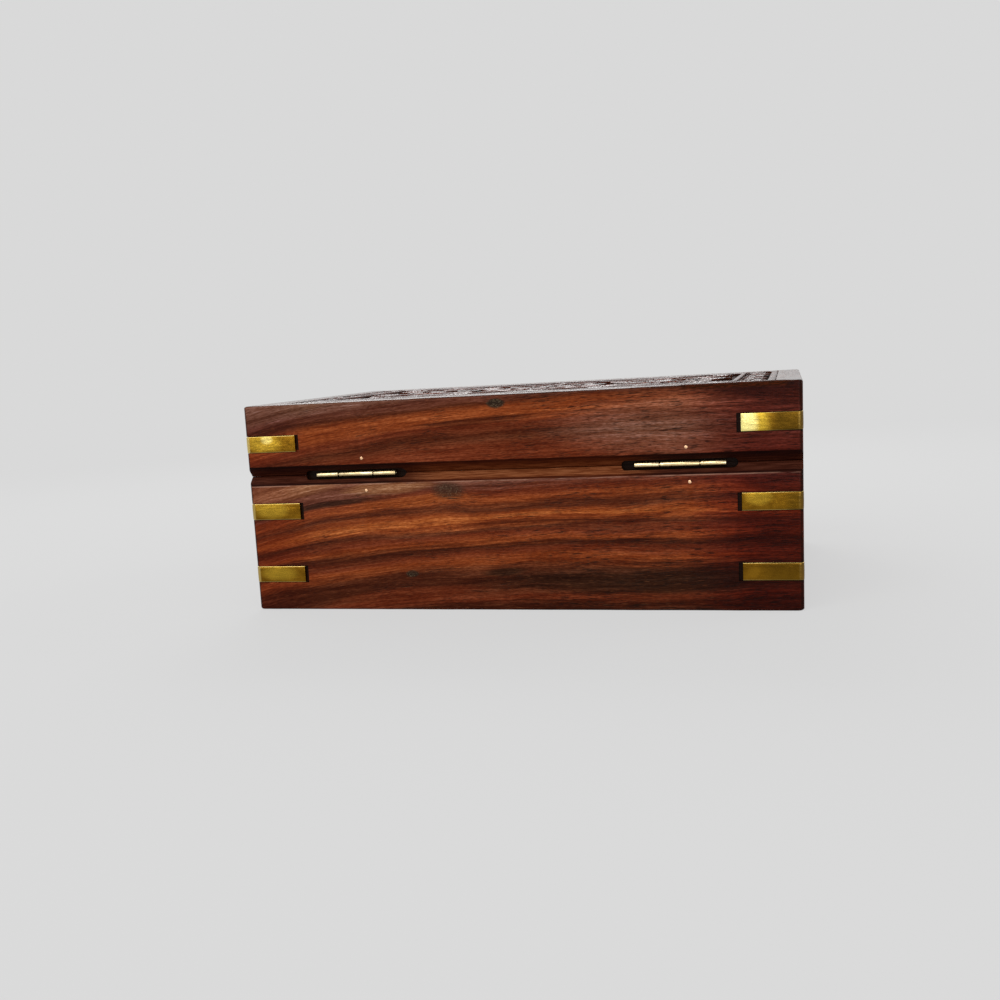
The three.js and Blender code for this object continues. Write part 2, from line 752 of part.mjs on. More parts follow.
function addCarvedPanel() {
  const slab = stack(panelHalfWidth, panelHalfDepth, topBevel, [
    [panelUnderside, 0], [caseHeight - topBevel, 0], [caseHeight, topBevel],
  ]);
  const inner = outerFillet + borderBand;
  const border = pocketSolid(outerFillet).subtract(solid(prism(
    roundedRectangle(panelHalfWidth - inner, panelHalfDepth - inner, pocketCorner),
    caseHeight - carvingDepth - overrun, caseHeight + overrun)));
  const [disc, hole] = [ringOuter, ringOuter - ringWidth].map((radius) => circleOutline(
    0, 0, radius, 2 * roundSteps));
  const ring = solid(prism(disc, panelUnderside, caseHeight + overrun))
    .subtract(solid(prism(hole, panelUnderside - overrun, caseHeight + 2 * overrun)));
  const field = ground(pocketSolid(inner + innerFillet), fieldOutlines()).subtract(ring);
  const carved = solid(slab).subtract(ground(border, borderOutlines())).subtract(field);
  addPiece('lid_carved_panel', toGeometry(carved), carvedWood);
}

addBoards('base', baseCarcass());
addBoards('lid', lidCarcass());
addBottomPanel();
addCarvedPanel();
addStraps();
addHinges();
addLining();

export default box;
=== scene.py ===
"""A carved jewelry box: figured hardwood boards, brass straps and hinges, a carved top, a velvet lining.

Lengths are metres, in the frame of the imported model. The front faces -Y and the hinges are at +Y.
Left and right are as seen from the front, so left is -X.
"""

import math
from dataclasses import dataclass, replace

import bmesh
import bpy
from mathutils import Matrix, Vector, noise


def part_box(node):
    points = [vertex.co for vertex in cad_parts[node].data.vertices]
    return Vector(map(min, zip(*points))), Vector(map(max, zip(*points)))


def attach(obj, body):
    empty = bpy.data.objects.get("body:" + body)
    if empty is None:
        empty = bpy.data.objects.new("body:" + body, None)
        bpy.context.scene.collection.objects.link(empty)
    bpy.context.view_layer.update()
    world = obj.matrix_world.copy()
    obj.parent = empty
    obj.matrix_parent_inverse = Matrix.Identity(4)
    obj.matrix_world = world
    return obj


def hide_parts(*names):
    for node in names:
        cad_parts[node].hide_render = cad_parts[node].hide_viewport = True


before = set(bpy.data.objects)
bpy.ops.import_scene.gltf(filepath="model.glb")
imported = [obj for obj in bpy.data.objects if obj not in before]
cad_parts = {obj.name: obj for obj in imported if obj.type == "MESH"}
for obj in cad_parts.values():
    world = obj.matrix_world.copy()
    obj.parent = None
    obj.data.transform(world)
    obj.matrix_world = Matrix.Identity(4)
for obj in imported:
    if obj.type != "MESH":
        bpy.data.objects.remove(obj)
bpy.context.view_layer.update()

MM = 0.001


def mm(*lengths):
    """Lengths given in millimetres, as a row."""
    return tuple(length * MM for length in lengths)


# The camera that took the photograph, from a fit to the corners, straps and hinges
CAMERA_PLACE = Vector((-0.09678, 0.47714, 0.09110))
CAMERA_AZIMUTH = math.radians(196.34)
CAMERA_ELEVATION = math.radians(9.667)
CAMERA_ROLL = math.radians(-3.34)
CAMERA_LENS = 41.84
CAMERA_SHIFT = (0.0458, 0.0585)
CAMERA_RANGE = (0.01, 60.0)

# The lamps: place, size and how bright each looks. The world, and the floor seen and unseen
LAMPS = {
    "key": ((0.7, 1.6, 1.5), (1.6, 1.6), 3.3),
    "fill": ((-0.7, 1.2, 0.24), (0.9, 0.44), 4.0),
    "front": ((0.3, -1.1, 0.8), (0.8, 0.6), 8.0),
    "side_left": ((-1.6, -1.0, 0.9), (1.0, 0.8), 3.0),
    "side_right": ((1.6, -1.0, 0.9), (1.0, 0.8), 3.0),
    "low_left": ((0.66, 1.25, 0.13), (0.34, 0.24), 2.4),
    "low_right": ((-0.10, 1.35, 0.16), (0.22, 0.26), 3.0),
}
LAMP_AIM = Vector((0.0, 0.0, 0.04))
WORLD_STRENGTH = 0.45
PALE = 0.694
FLOOR_BOUNCE = 0.55
FLOOR_SHADED = 0.62
FLOOR_SHADE_SHARE = 0.16
FLOOR_NEAR = (0.25, 0.9)
FLOOR_REACH = 25.0

# The case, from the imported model
HALF_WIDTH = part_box("base_right_board")[1][0]
HALF_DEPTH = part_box("base_rear_board")[1][1]
SEAM_GROWTH = 0.1 * MM
BASE_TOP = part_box("base_rear_board")[1][2] + SEAM_GROWTH
LID_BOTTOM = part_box("lid_rear_board")[0][2] - SEAM_GROWTH
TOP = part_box("lid_rear_board")[1][2]
PARTING = (BASE_TOP + LID_BOTTOM) / 2
BOARD = 12 * MM
CORNER_RADIUS = 1.6 * MM
CORNER_STEPS = 5
BOTTOM_ARRIS = 0.8 * MM
TOP_ARRIS = 0.7 * MM
RIM_ARRIS = 0.35 * MM
OUTER_RIM_ARRIS = 0.12 * MM
GLUE_LINE = 0.1 * MM
OVERRUN = 2 * MM
MERGE_DISTANCE = 0.002 * MM
BOTTOM_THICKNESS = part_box("base_bottom_panel")[1][2]
BOTTOM_REBATE = 6 * MM
PANEL_CLEARANCE = 0.15 * MM
TOP_MARGIN = 8.8 * MM
PANEL_LOW, PANEL_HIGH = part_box("lid_carved_panel")
STATION_SPACING = 1.2 * MM
ARC_STEPS = 5
ROUND_SHARES = (0.0, 0.3, 0.62)
ARRIS_WEAR = 0.20 * MM
RIM_WEAR = 0.05 * MM
OUTER_RIM_WEAR = 0.04 * MM
MARGIN_WEAR = 0.02 * MM
BOTTOM_PANEL_EDGE = 0.3 * MM
BOTTOM_PANEL_SPACING = 12 * MM

# How worn an edge is: what it is without noise, then each noise's fineness, layer and strength
WEAR_MIDDLE = 0.35
WEAR_NOISES = ((55.0, 0.0, 0.7), (260.0, 5.0, 0.35), (900.0, 9.0, 0.2))

# Dents in the top edge at the rear: place along it, half width, depth
REAR_NICKS = (
    mm(-66.0, 22.0, 0.50), mm(-50.5, 2.6, 0.50), mm(-57.0, 1.6, 0.25),
    mm(-63.5, 2.4, 0.30), mm(-70.5, 2.2, 0.35), mm(-76.0, 1.6, 0.35),
    mm(-81.0, 2.4, 0.30), mm(31.0, 1.5, 0.10), mm(-18.0, 1.2, 0.15),
)

# The groove along the rear, the hinges and their slots
GROOVE_HALF_HEIGHT = 3.45 * MM
UPPER_LIP_RISE = 0.45 * MM
GROOVE_DEPTH = 3.55 * MM
GROOVE_ARRIS = 0.28 * MM
GROOVE_WEAR = 0.08 * MM
GROOVE_STEPS = 170
GROOVE_CLEARANCE = 0.02 * MM
BARREL_RADIUS = 1.1 * MM
PIN_RADIUS = 0.5 * MM
PIN_CLEARANCE = 0.09 * MM
END_KNUCKLE = 8.5 * MM
KNUCKLE_GAP = 0.45 * MM
LEAF_THICKNESS = 0.6 * MM
LEAF_HEIGHT = 9.6 * MM
LEAF_GAP = 0.5 * MM
KERF_CLEARANCE = 0.15 * MM
SLOT_HALF_HEIGHT = 1.7 * MM
SLOT_DEPTH = 5 * MM
SLOT_REACH_LEFT = 4 * MM
SLOT_REACH_RIGHT = 4.7 * MM
SLOT_STEPS = 14
BRAD_CLEARANCE = 0.05 * MM
BRAD_HEAD = 0.57 * MM
BRAD_POINT = 1 * MM
BRAD_POINT_SHARE = 0.15
BRAD_HOLE_STEPS = 20
BAR_STEPS = 26
BRAD_UNROUND_SHARE = 0.05
BRAD_DOME = ((0.16 * MM, 1.0), (0.08 * MM, 0.97), (0.03 * MM, 0.85), (0.01 * MM, 0.55), (0.0, 0.2))
PIN_END = ((0.0, 0.55), (0.05 * MM, 0.8), (0.14 * MM, 1.0))
KNUCKLE_EASE = 0.14 * MM
KNUCKLE_STEPS = 40
PLATE_EDGE = 0.1 * MM
PLATE_SPACING = 4 * MM
WEB_SHARE = 0.7

# The straps
STRAP_THICKNESS = 0.9 * MM
STRAP_PROUD = 0.12 * MM
STRAP_SIDE_GAP = 0.15 * MM
STRAP_END_GAP = 1.4 * MM
STRAP_ROLL = 0.26 * MM
STRAP_ROLL_SHARES = (0.0, 0.05, 0.12, 0.2, 0.3, 0.45, 0.7, 1.0)
STRAP_INNER_EASE = 0.05 * MM
STRAP_HOLLOW = 0.05 * MM
STRAP_DENT = 0.035 * MM
STRAP_FINE_DENT = 0.012 * MM
STRAP_DENT_FADE = 1 * MM
STRAP_DENT_FINENESS = (130.0, 170.0)
STRAP_RUN_STEPS = 16
STRAP_TURN_STEPS = 10
STRAP_ROW_STEPS = 10
STRAP_KINDS = ("lid_strap", "base_upper_strap", "base_lower_strap")

# Creases from which a strap leans: the distance run and the angle
STRAP_CREASES = {
    "lid_strap_rear_right": ((11 * MM, math.radians(-0.5)),),
    "lid_strap_rear_left": ((13 * MM, math.radians(0.7)),),
}

# The carving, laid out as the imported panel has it
CARVING_DEPTH = 1.2 * MM
ROOT = 0.3 * MM
OUTER_FILLET = 2.4 * MM
BORDER_BAND = 11 * MM
INNER_FILLET = 1.6 * MM
POCKET_CORNER = 1 * MM
STEM_WIDTH = 1.7 * MM
VINE_PITCH = 13 * MM
VINE_WAVE = 2.1 * MM
VINE_LEAF = mm(10.4, 4.5)
CORNER_LEAF = mm(9.5, 3.8)
BOSS_RADIUS = 4 * MM
PETAL_GAP = 0.9 * MM
INNER_PETALS = 8
INNER_PETAL = mm(8.2, 5.6)
RING_WIDTH = 1.5 * MM
OUTER_PETALS = 16
OUTER_PETAL = mm(9.6, 6.6)
SCROLL_FROM_END = 32.55 * MM
SCROLL_FROM_SIDE = 25.85 * MM
SCROLL_RADIUS = 16.2 * MM
SCROLL_EYE = 7 * MM
SCROLL_TURNS = 1.2
SCROLL_LEAVES = 7
SCROLL_LEAF = mm(13.2, 6.2)
TAIL_FOOT_X = 2.5 * MM
TAIL_REACH = 14 * MM
TAIL_LEAF_LENGTH = 13 * MM
FLOWER_PETALS = 6
FLOWER_RADIUS = 5.2 * MM
FLOWER_EYE = 1.4 * MM
FLOWER_PETAL_WIDTH = 3.2 * MM
FAN_LEAF = mm(16, 5.6)
FAN_GAP = 2.2 * MM
END_FAN_FROM_END = 15.05 * MM
END_FAN_LEAF = mm(13, 4.6)
CORNER_FAN_FROM_END = 12.55 * MM
CORNER_FAN_FROM_SIDE = 9.55 * MM
CORNER_FAN_LENGTH = 11 * MM
LEAF_BELLY_SHARE = 0.8
FAN_SPREAD = math.pi / 5.5
FAN_CURL_SHARE = 0.35
SCROLL_START = math.pi * 2 / 3
SCROLL_LEAF_SPLAY = math.pi / 3.2
SCROLL_LEAF_SPAN_SHARE = 0.68
SCROLL_TIGHTEN_SHARE = 1.5
TAIL_LEAF_SHARE = 0.55
VINE_LEAF_SPLAY = math.pi / 4.5
VINE_STEPS = 20
TAIL_STEPS = 16
SCROLL_STEPS = 110
PANEL_BEVEL = 0.7 * MM
GROUND_UNEVENNESS = 0.10 * MM
GROUND_FINENESS = (350, 900)
FILLET_EASE = 0.2 * MM
WALL_TOP_DROP = 0.1 * MM
WALL_LEAN = 0.1 * MM
WALL_FOOT_RISE = 0.15 * MM
WALL_FOOT = 0.3 * MM
FIELD_MIDDLE = 1.2 * MM
BORDER_STEPS = 14
FIELD_STEPS = 44
BEVEL_STEPS = 4
BUTTON_STEPS = 64
BEAD_STEPS = 16
BEAD_SPACING_SHARE = 1.08
PANEL_STEPS = (150, 104, 5)  # along its length, along its depth and round a corner

# How far each kind of leaf lies below the top: the first, and what the next ones add in turn
PETAL_DROP = mm(0.03, 0.16)
SCROLL_LEAF_DROP = mm(0.06, 0.14)
VINE_LEAF_DROP = mm(0.06, 0.08)
FAN_DROP = 0.02 * MM
FAN_DROP_BY_SPREAD = 0.22 * MM
FAN_DROP_BY_NUMBER = 0.01 * MM

# Sections: how far across or along as a length or a share, and how high over the top
STEM_SECTION = (
    (STEM_WIDTH / 2 + 0.12 * MM, -CARVING_DEPTH - ROOT), (STEM_WIDTH / 2, -0.35 * MM),
    (STEM_WIDTH / 2 - 0.12 * MM, -0.08 * MM), (STEM_WIDTH / 2 - 0.3 * MM, -0.02 * MM),
    mm(0.16, -0.04),
)
STEM_CUT = 0.24 * MM
BUTTON_PROFILE = (
    (1.04, -CARVING_DEPTH - ROOT), (1.0, -0.4 * MM), (0.97, -0.1 * MM), (0.9, -0.03 * MM), (0.8, -0.05 * MM),
    (0.72, -0.38 * MM), (0.64, -0.12 * MM), (0.5, 0.0), (0.3, 0.0), (0.12, -0.12 * MM),
)
BUTTON_DIMPLE = 0.16 * MM
BEAD_PROFILE = ((0.9, -0.9), (1.0, 0.0), (0.92, 0.38), (0.75, 0.66), (0.5, 0.86), (0.2, 0.97))

# The leaves: their columns across, then the numbers of side veins and how deep these are cut
LEAF_COLUMNS = (-1.0, -1.0, -0.94, -0.8, -0.5, -0.24, -0.1, 0.0, 0.1, 0.24, 0.5, 0.8, 0.94, 1.0, 1.0)
LEAF_MIDDLE_CUT = 0.42 * MM
LARGE_LEAF_CUTS = (6, 0.26 * MM)
SMALL_LEAF_CUTS = (4, 0.2 * MM)
PETAL_CUTS = (0, 0.0)
LEAF_EDGE_FALL = 1.2 * MM
LEAF_CROWN = 0.3 * MM
LEAF_POINTING_SHARE = 0.32

# The lining. The rim of a pad: how far in, and the share of its height
CARD_EDGE = 0.55 * MM
CARD_SPACING = 3 * MM
CARD_UNEVENNESS = 0.1 * MM
CARD_FINENESS = (60.0, 160.0)
PAD_RIM = (
    (1.2 * MM, 0.0), (0.4 * MM, 0.04), (0.1 * MM, 0.18), (0.0, 0.34), (0.12 * MM, 0.5), (0.5 * MM, 0.62),
    (1.2 * MM, 0.7),
)
PAD_EDGE = 2.2 * MM
PAD_CORNER = 2.5 * MM
PAD_RINGS = 24
PAD_STEPS = (84, 56, 6)  # along its length, along its depth and round a corner
PAD_RING_POWER = 1.3
PAD_CROWN_SHARES = (0.72, 0.22)
PAD_SOFT_SHARE = 0.05
PUCKER_REACH = 6 * MM
PUCKER_SHARE = 0.03
PUCKER_FROM_SHARE = 0.4

PANEL_HALF_WIDTH, PANEL_HALF_DEPTH = PANEL_HIGH[0], PANEL_HIGH[1]
FIELD_INSET = OUTER_FILLET + BORDER_BAND + INNER_FILLET
SCROLL_X = PANEL_HALF_WIDTH - FIELD_INSET - SCROLL_FROM_END
SCROLL_Y = PANEL_HALF_DEPTH - FIELD_INSET - SCROLL_FROM_SIDE
END_FAN_X = PANEL_HALF_WIDTH - FIELD_INSET - END_FAN_FROM_END
CORNER_FAN_X = PANEL_HALF_WIDTH - FIELD_INSET - CORNER_FAN_FROM_END
CORNER_FAN_Y = PANEL_HALF_DEPTH - FIELD_INSET - CORNER_FAN_FROM_SIDE
RING_OUTER = BOSS_RADIUS + INNER_PETAL[0] + 2 * PETAL_GAP + RING_WIDTH
FAN_FOOT_Y = RING_OUTER + PETAL_GAP + OUTER_PETAL[0] + FAN_GAP
FLOOR = TOP - CARVING_DEPTH

CORNERS = {"front_left": (-1, -1), "front_right": (1, -1), "rear_left": (-1, 1), "rear_right": (1, 1)}
SIDES = ("front", "rear", "left", "right")


class Recipe:
    """A node tree, built by calls that return sockets."""

    def __init__(self, tree):
        self.tree = tree
        tree.nodes.clear()

    def node(self, kind, inputs, **settings):
        node = self.tree.nodes.new(kind)
        for key, value in settings.items():
            setattr(node, key, value)
        for key, value in inputs.items():
            if isinstance(value, bpy.types.NodeSocket):
                self.tree.links.new(value, node.inputs[key])
            else:
                node.inputs[key].default_value = value
        return node

    def math(self, operation, a, b=0.0, c=0.0):
        return self.node("ShaderNodeMath", {0: a, 1: b, 2: c}, operation=operation).outputs[0]

    def minus(self, a, b):
        return self.math("SUBTRACT", a, b)

    def unsigned(self, value):
        return self.math("ABSOLUTE", value)

    def higher(self, a, b):
        return self.math("MAXIMUM", a, b)

    def lower(self, a, b):
        return self.math("MINIMUM", a, b)

    def linear(self, value, factor, offset):
        return self.math("MULTIPLY_ADD", value, factor, offset)

    def vector(self, x, y, z):
        return self.node("ShaderNodeCombineXYZ", {0: x, 1: y, 2: z}).outputs[0]

    def split(self, vector):
        return self.node("ShaderNodeSeparateXYZ", {0: vector}).outputs

    def sum(self, *values):
        total = values[0]
        for value in values[1:]:
            total = self.math("ADD", total, value)
        return total

    def product(self, *values):
        total = values[0]
        for value in values[1:]:
            total = self.math("MULTIPLY", total, value)
        return total


class Finish(Recipe):
    """A material."""

    def __init__(self, name):
        self.material = bpy.data.materials.new(name)
        self.material.use_nodes = True
        super().__init__(self.material.node_tree)

    def place(self):
        return self.node("ShaderNodeTexCoord", {}).outputs["Object"]

    def noise(self, vector, scale, detail=2.0, roughness=0.5):
        inputs = {"Vector": vector, "Scale": scale, "Detail": detail, "Roughness": roughness}
        return self.node("ShaderNodeTexNoise", inputs).outputs["Fac"]

    def streaks(self, parts, scales, detail=2.0, roughness=0.5):
        """Noise drawn out along an axis, by a scale of its own for each of three values."""
        stretched = [self.math("MULTIPLY", part, scale) for part, scale in zip(parts, scales)]
        return self.noise(self.vector(*stretched), 1.0, detail, roughness)

    def step(self, value, low, high):
        """A smooth rise from 0 at low to 1 at high."""
        inputs = {0: value, 1: low, 2: high, 3: 0.0, 4: 1.0}
        return self.node("ShaderNodeMapRange", inputs, interpolation_type="SMOOTHSTEP").outputs[0]

    def fall(self, value, low, high):
        """A smooth fall from 1 at low to 0 at high."""
        return self.minus(1.0, self.step(value, low, high))

    def swayed(self, value, noise, reach):
        """A value moved either way by a noise whose middle is one half."""
        return self.linear(self.minus(noise, 0.5), reach, value)

    def nearness(self, u, v, reach_u, reach_v):
        """The square of the distance from a spot, in reaches of its own along and across."""
        u, v = self.math("DIVIDE", u, reach_u), self.math("DIVIDE", v, reach_v)
        return self.sum(self.product(u, u), self.product(v, v))

    def ramp(self, value, stops):
        node = self.node("ShaderNodeValToRGB", {0: value})
        elements = node.color_ramp.elements
        while len(elements) < len(stops):
            elements.new(1.0)
        for element, (place, colour) in zip(elements, stops):
            element.position = place
            element.color = (*colour, 1.0)
        return node.outputs["Color"]

    def mix(self, factor, a, b, blend="MIX"):
        a, b = ((*value, 1.0) if isinstance(value, tuple) else value for value in (a, b))
        inputs = {0: factor, 6: a, 7: b}
        return self.node("ShaderNodeMix", inputs, data_type="RGBA", blend_type=blend).outputs[2]

    def bump(self, height, strength, distance):
        inputs = {"Height": height, "Strength": strength, "Distance": distance}
        return self.node("ShaderNodeBump", inputs).outputs[0]

    def surface(self, colour, roughness, normal, **uniform):
        names = {key.replace("_", " ").title().replace("Ior", "IOR"): value for key, value in uniform.items()}
        inputs = {"Base Color": colour, "Roughness": roughness, "Normal": normal, **names}
        shader = self.node("ShaderNodeBsdfPrincipled", inputs)
        self.node("ShaderNodeOutputMaterial", {"Surface": shader.outputs[0]})
        return self.material


# Wood colours
RED_DARK = (0.034, 0.0058, 0.0016)
RED = (0.108, 0.018, 0.0050)
BLACK_BROWN = (0.021, 0.0062, 0.0022)
ORANGE = (0.250, 0.057, 0.0110)
ORANGE_DEEP = (0.170, 0.032, 0.0065)
UMBER = (0.062, 0.0126, 0.0038)
PLUM = (0.082, 0.021, 0.0105)
ROSE = (0.135, 0.042, 0.0200)
# Greyish colour of a painted sheen
SHEEN_GREY = (0.190, 0.082, 0.0480)
TAWNY = (0.235, 0.094, 0.0380)
GREY_BROWN = (0.150, 0.070, 0.0410)
PORE = (0.0085, 0.0030, 0.0014)
# Pale specks of painted sheen
SHEEN_SPECK = (0.34, 0.12, 0.045)
KNOT = (0.016, 0.010, 0.0055)
KNOT_SPECK = (0.085, 0.062, 0.036)

BASE_REAR_BANDS = (
    (0.00, RED_DARK), (0.06, RED_DARK), (0.10, RED), (0.15, UMBER), (0.20, RED_DARK), (0.27, UMBER),
    (0.33, ORANGE_DEEP), (0.37, RED), (0.415, RED_DARK), (0.455, ORANGE_DEEP), (0.485, RED), (0.52, UMBER),
    (0.555, ORANGE_DEEP), (0.575, ORANGE), (0.61, ORANGE_DEEP), (0.645, UMBER), (0.69, ORANGE_DEEP),
    (0.735, RED), (0.78, PLUM), (0.88, ROSE), (1.00, ROSE),
)
LID_REAR_BANDS = (
    (0.00, UMBER), (0.09, RED), (0.20, RED), (0.28, UMBER), (0.36, RED), (0.43, ORANGE_DEEP),
    (0.48, ORANGE_DEEP), (0.53, UMBER), (0.60, PLUM), (0.75, GREY_BROWN), (1.00, ROSE),
)
FRONT_BANDS = (
    (0.00, UMBER), (0.10, RED), (0.22, ORANGE_DEEP), (0.30, BLACK_BROWN), (0.38, RED), (0.47, ORANGE),
    (0.55, UMBER), (0.66, ORANGE_DEEP), (0.76, RED), (0.85, PLUM), (1.00, ROSE),
)
END_BANDS = (
    (0.00, RED_DARK), (0.14, RED), (0.24, UMBER), (0.36, ORANGE_DEEP), (0.46, RED), (0.54, BLACK_BROWN),
    (0.62, RED), (0.72, ORANGE_DEEP), (0.85, PLUM), (1.00, ROSE),
)
TOP_BANDS = (
    (0.00, UMBER), (0.12, RED_DARK), (0.22, UMBER), (0.34, RED), (0.46, BLACK_BROWN), (0.58, RED),
    (0.70, UMBER), (0.82, RED_DARK), (1.00, UMBER),
)
TOP_SHADE = (0.034, 0.015, 0.008)

# How strongly red, green and blue follow the tone: dark wood is redder, light wood is greyer
TONE_POWERS = (0.92, 1.35, 1.75)

# How much light the groove's flanks keep, from the lower lip over the parting to the upper lip
GROOVE_SHADES = (
    (0.00, 0.25), (0.03, 0.12), (0.08, 0.16), (0.13, 0.42), (0.20, 0.54), (0.40, 0.50), (0.46, 0.46),
    (0.485, 0.25), (0.50, 0.10), (0.52, 0.18), (0.56, 0.32), (0.64, 0.28), (0.75, 0.19), (0.85, 0.13),
    (0.93, 0.08), (1.00, 0.06),
)
# The flanks' colours under their painted shade: the middle of the groove, and its darker ends
FLANK_BRIGHT = (0.290, 0.112, 0.048)
FLANK_DULL = (0.078, 0.024, 0.014)
LIP_HIGHLIGHT = (0.300, 0.155, 0.105)
HOLE = (0.006, 0.0022, 0.0010)

# How fine each noise of the wood is: along the grain, across it and into the board
WANDER_GRAIN = (16.0, 34.0, 20.0)
RIPPLE_GRAIN = (60.0, 160.0, 20.0)
CROWD_GRAIN = (45.0, 130.0, 60.0)
SHEEN_SPECK_GRAIN = (260.0, 2600.0, 900.0)
GROOVE_SHADE_GRAIN = (90.0, 700.0, 90.0)
LINE_GRAIN = (120.0, 9.0, 60.0)

# The streaks of the wood, broad, fine, hair, dash and band: how fine, detail and roughness
WOOD_STREAKS = (
    ((14.0, 240.0, 60.0), 2.0, 0.5), ((40.0, 900.0, 60.0), 4.0, 0.65), ((110.0, 3600.0, 200.0), 2.0, 0.6),
    ((520.0, 2900.0, 500.0), 2.0, 0.6), ((17.0, 430.0, 60.0), 3.0, 0.6),
)

# How strongly the tone follows each of them, and what it has without it
FINE_TONE = (0.66, 0.70)
HAIR_TONE = (1.7, 0.17)
BROAD_TONE = (0.9, 0.56)
DASH_TONE = (1.9, 0.07)
BAND_TONE = (0.55, 0.80)

# Short pores, long pores and cracks: how fine, slant, detail, roughness, where they open and crowd, amount
PORE_KINDS = (
    ((480.0, 3100.0, 900.0), 0.1, 2.0, 0.6, (0.57, 0.68), (0.20, 0.75), 0.75),
    ((190.0, 2300.0, 700.0), 0.0, 1.0, 0.5, (0.58, 0.67), (0.36, 0.62), 0.85),
    ((80.0, 2100.0, 400.0), 0.12, 2.0, 0.6, (0.58, 0.68), (0.42, 0.70), 1.0),
)
CROWD_SLANT = -1.6
PORE_SHARE = 0.92
SHEEN_SPECK_RISE = (0.60, 0.74)
SHEEN_SPECK_SHARE = 0.14

# Where the figure bends, and the depths and heights at which the wood's looks change
WANDER = 5.5 * MM
RIPPLE = 1.0 * MM
FIGURE_LEAN = -0.8
LIT_TOP = (TOP - 0.45 * MM, TOP - 0.25 * MM)
SUNK_GROUND = (TOP - 0.95 * MM, TOP - 0.28 * MM)
BARE_HEIGHTS = (TOP - 2.2 * MM, TOP - 0.8 * MM)
BARE_RAGGED = 14 * MM
BARE_FADES = mm(3, 6)
FLANK_DEPTHS = mm(0.02, 0.2)
FLANK_MIDDLE_X = -6 * MM
FLANK_ENDS = mm(30, 52)
LIP_DEPTHS = mm(0.1, 0.3)
SLOT_FADE = mm(0.05, 0.3)
SLOT_EDGE = 0.1 * MM
POCKET_FADE = mm(0.12, 0.35)
POCKET_PAST = 0.2 * MM
POCKET_BESIDE = 0.6 * MM
CORNER_SHADE = mm(0.2, 0.9)
DARKER_RAGGED = 8 * MM
WOOD_BUMP = 0.07 * MM

# Painted shade towards the ends of a board: where it is darkest, where it is clear, and how much light is
# kept
REAR_DARKER = ((*mm(-84, -52), 0.46), (*mm(98, 76), 0.80))
LEFT_END_DARKER = ((*mm(74, 40), 0.55),)
RIGHT_END_DARKER = ((*mm(76, 54), 0.86),)

# The carved ground, the brass and the velvet
GROUND = (0.018, 0.006, 0.003)
SLOT_SHADE = (0.004, 0.002, 0.001)
HIGHLIGHT_PALE = (0.90, 0.78, 0.28)
HIGHLIGHT_YELLOW = (0.55, 0.36, 0.035)
TARNISHED = (0.060, 0.032, 0.004)
EDGE_WEAR_AND_HIGHLIGHT = (0.80, 0.62, 0.22)
STRAP_BRASS = ((0.24, 0.118, 0.0085), (0.155, 0.073, 0.0050), (0.070, 0.030, 0.0035))
HINGE_BRASS = ((0.82, 0.68, 0.42), (0.70, 0.54, 0.28), (0.12, 0.07, 0.02))
BRAD_BRASS = ((0.80, 0.50, 0.30), (0.66, 0.38, 0.20), (0.25, 0.13, 0.06))
VELVET_DARK = (0.100, 0.005, 0.010)
VELVET_LIGHT = (0.175, 0.011, 0.018)
VELVET_DEEP = (0.030, 0.0015, 0.004)
VELVET_SHEEN = (0.75, 0.12, 0.14, 1.0)
RIM_FADE = mm(0.26, 0.12)
RIM_PAST = 1 * MM
BEND_SHARES_X = (1.15, 0.8)
BEND_SHARES_Y = (0.9, 0.5)
SHADE_BELOW_AXIS = mm(0.55, 0.1)
SHADE_BEHIND_AXIS = mm(0.5, 0.1)
BRASS_BUMP = 0.25 * MM
VELVET_BUMP = 0.2 * MM

# Places on the straps painted lighter as highlights, or browned darker, to copy their reflections: place,
# reach along and up, colour and amount
STRAP_REFLECTION_PATCHES = (
    (*mm(-84.0, 64.8, 7.0, 12.0), HIGHLIGHT_YELLOW, 0.85),
    (*mm(-82.0, 64.8, 5.0, 12.0), HIGHLIGHT_PALE, 1.0),
    (*mm(-97.0, 65.0, 6.5, 12.0), TARNISHED, 0.75),
    (*mm(-100.5, 38.5, 5.0, 12.0), TARNISHED, 0.6),
    (*mm(-87.0, 39.5, 5.0, 3.0), HIGHLIGHT_YELLOW, 0.35),
    (*mm(-96.5, 14.0, 9.0, 12.0), TARNISHED, 0.45),
    (*mm(94.0, 64.2, 7.5, 4.0), HIGHLIGHT_YELLOW, 0.45),
    (*mm(92.8, 65.6, 2.6, 1.8), HIGHLIGHT_PALE, 0.4),
    (*mm(93.5, 38.6, 8.0, 3.5), HIGHLIGHT_YELLOW, 0.4),
    (*mm(92.0, 14.2, 8.0, 3.2), HIGHLIGHT_YELLOW, 0.4),
)


@dataclass
class WoodPlan:
    """How the figure lies in one board.

    The grain runs along an axis, the bands fill a span across it, and the face lies at a distance from the
    middle. Towards +X the figure may rise, and that fades towards -X. The shift picks a cut of the noise.
    """

    along: int
    bands: tuple
    span: tuple
    face: float = 0.0
    rise: float = 0.0
    fade: float = 45 * MM
    shift: float = 0.0
    patches: tuple = ()
    knots: tuple = ()
    bare: tuple = ()
    darker: tuple = ()


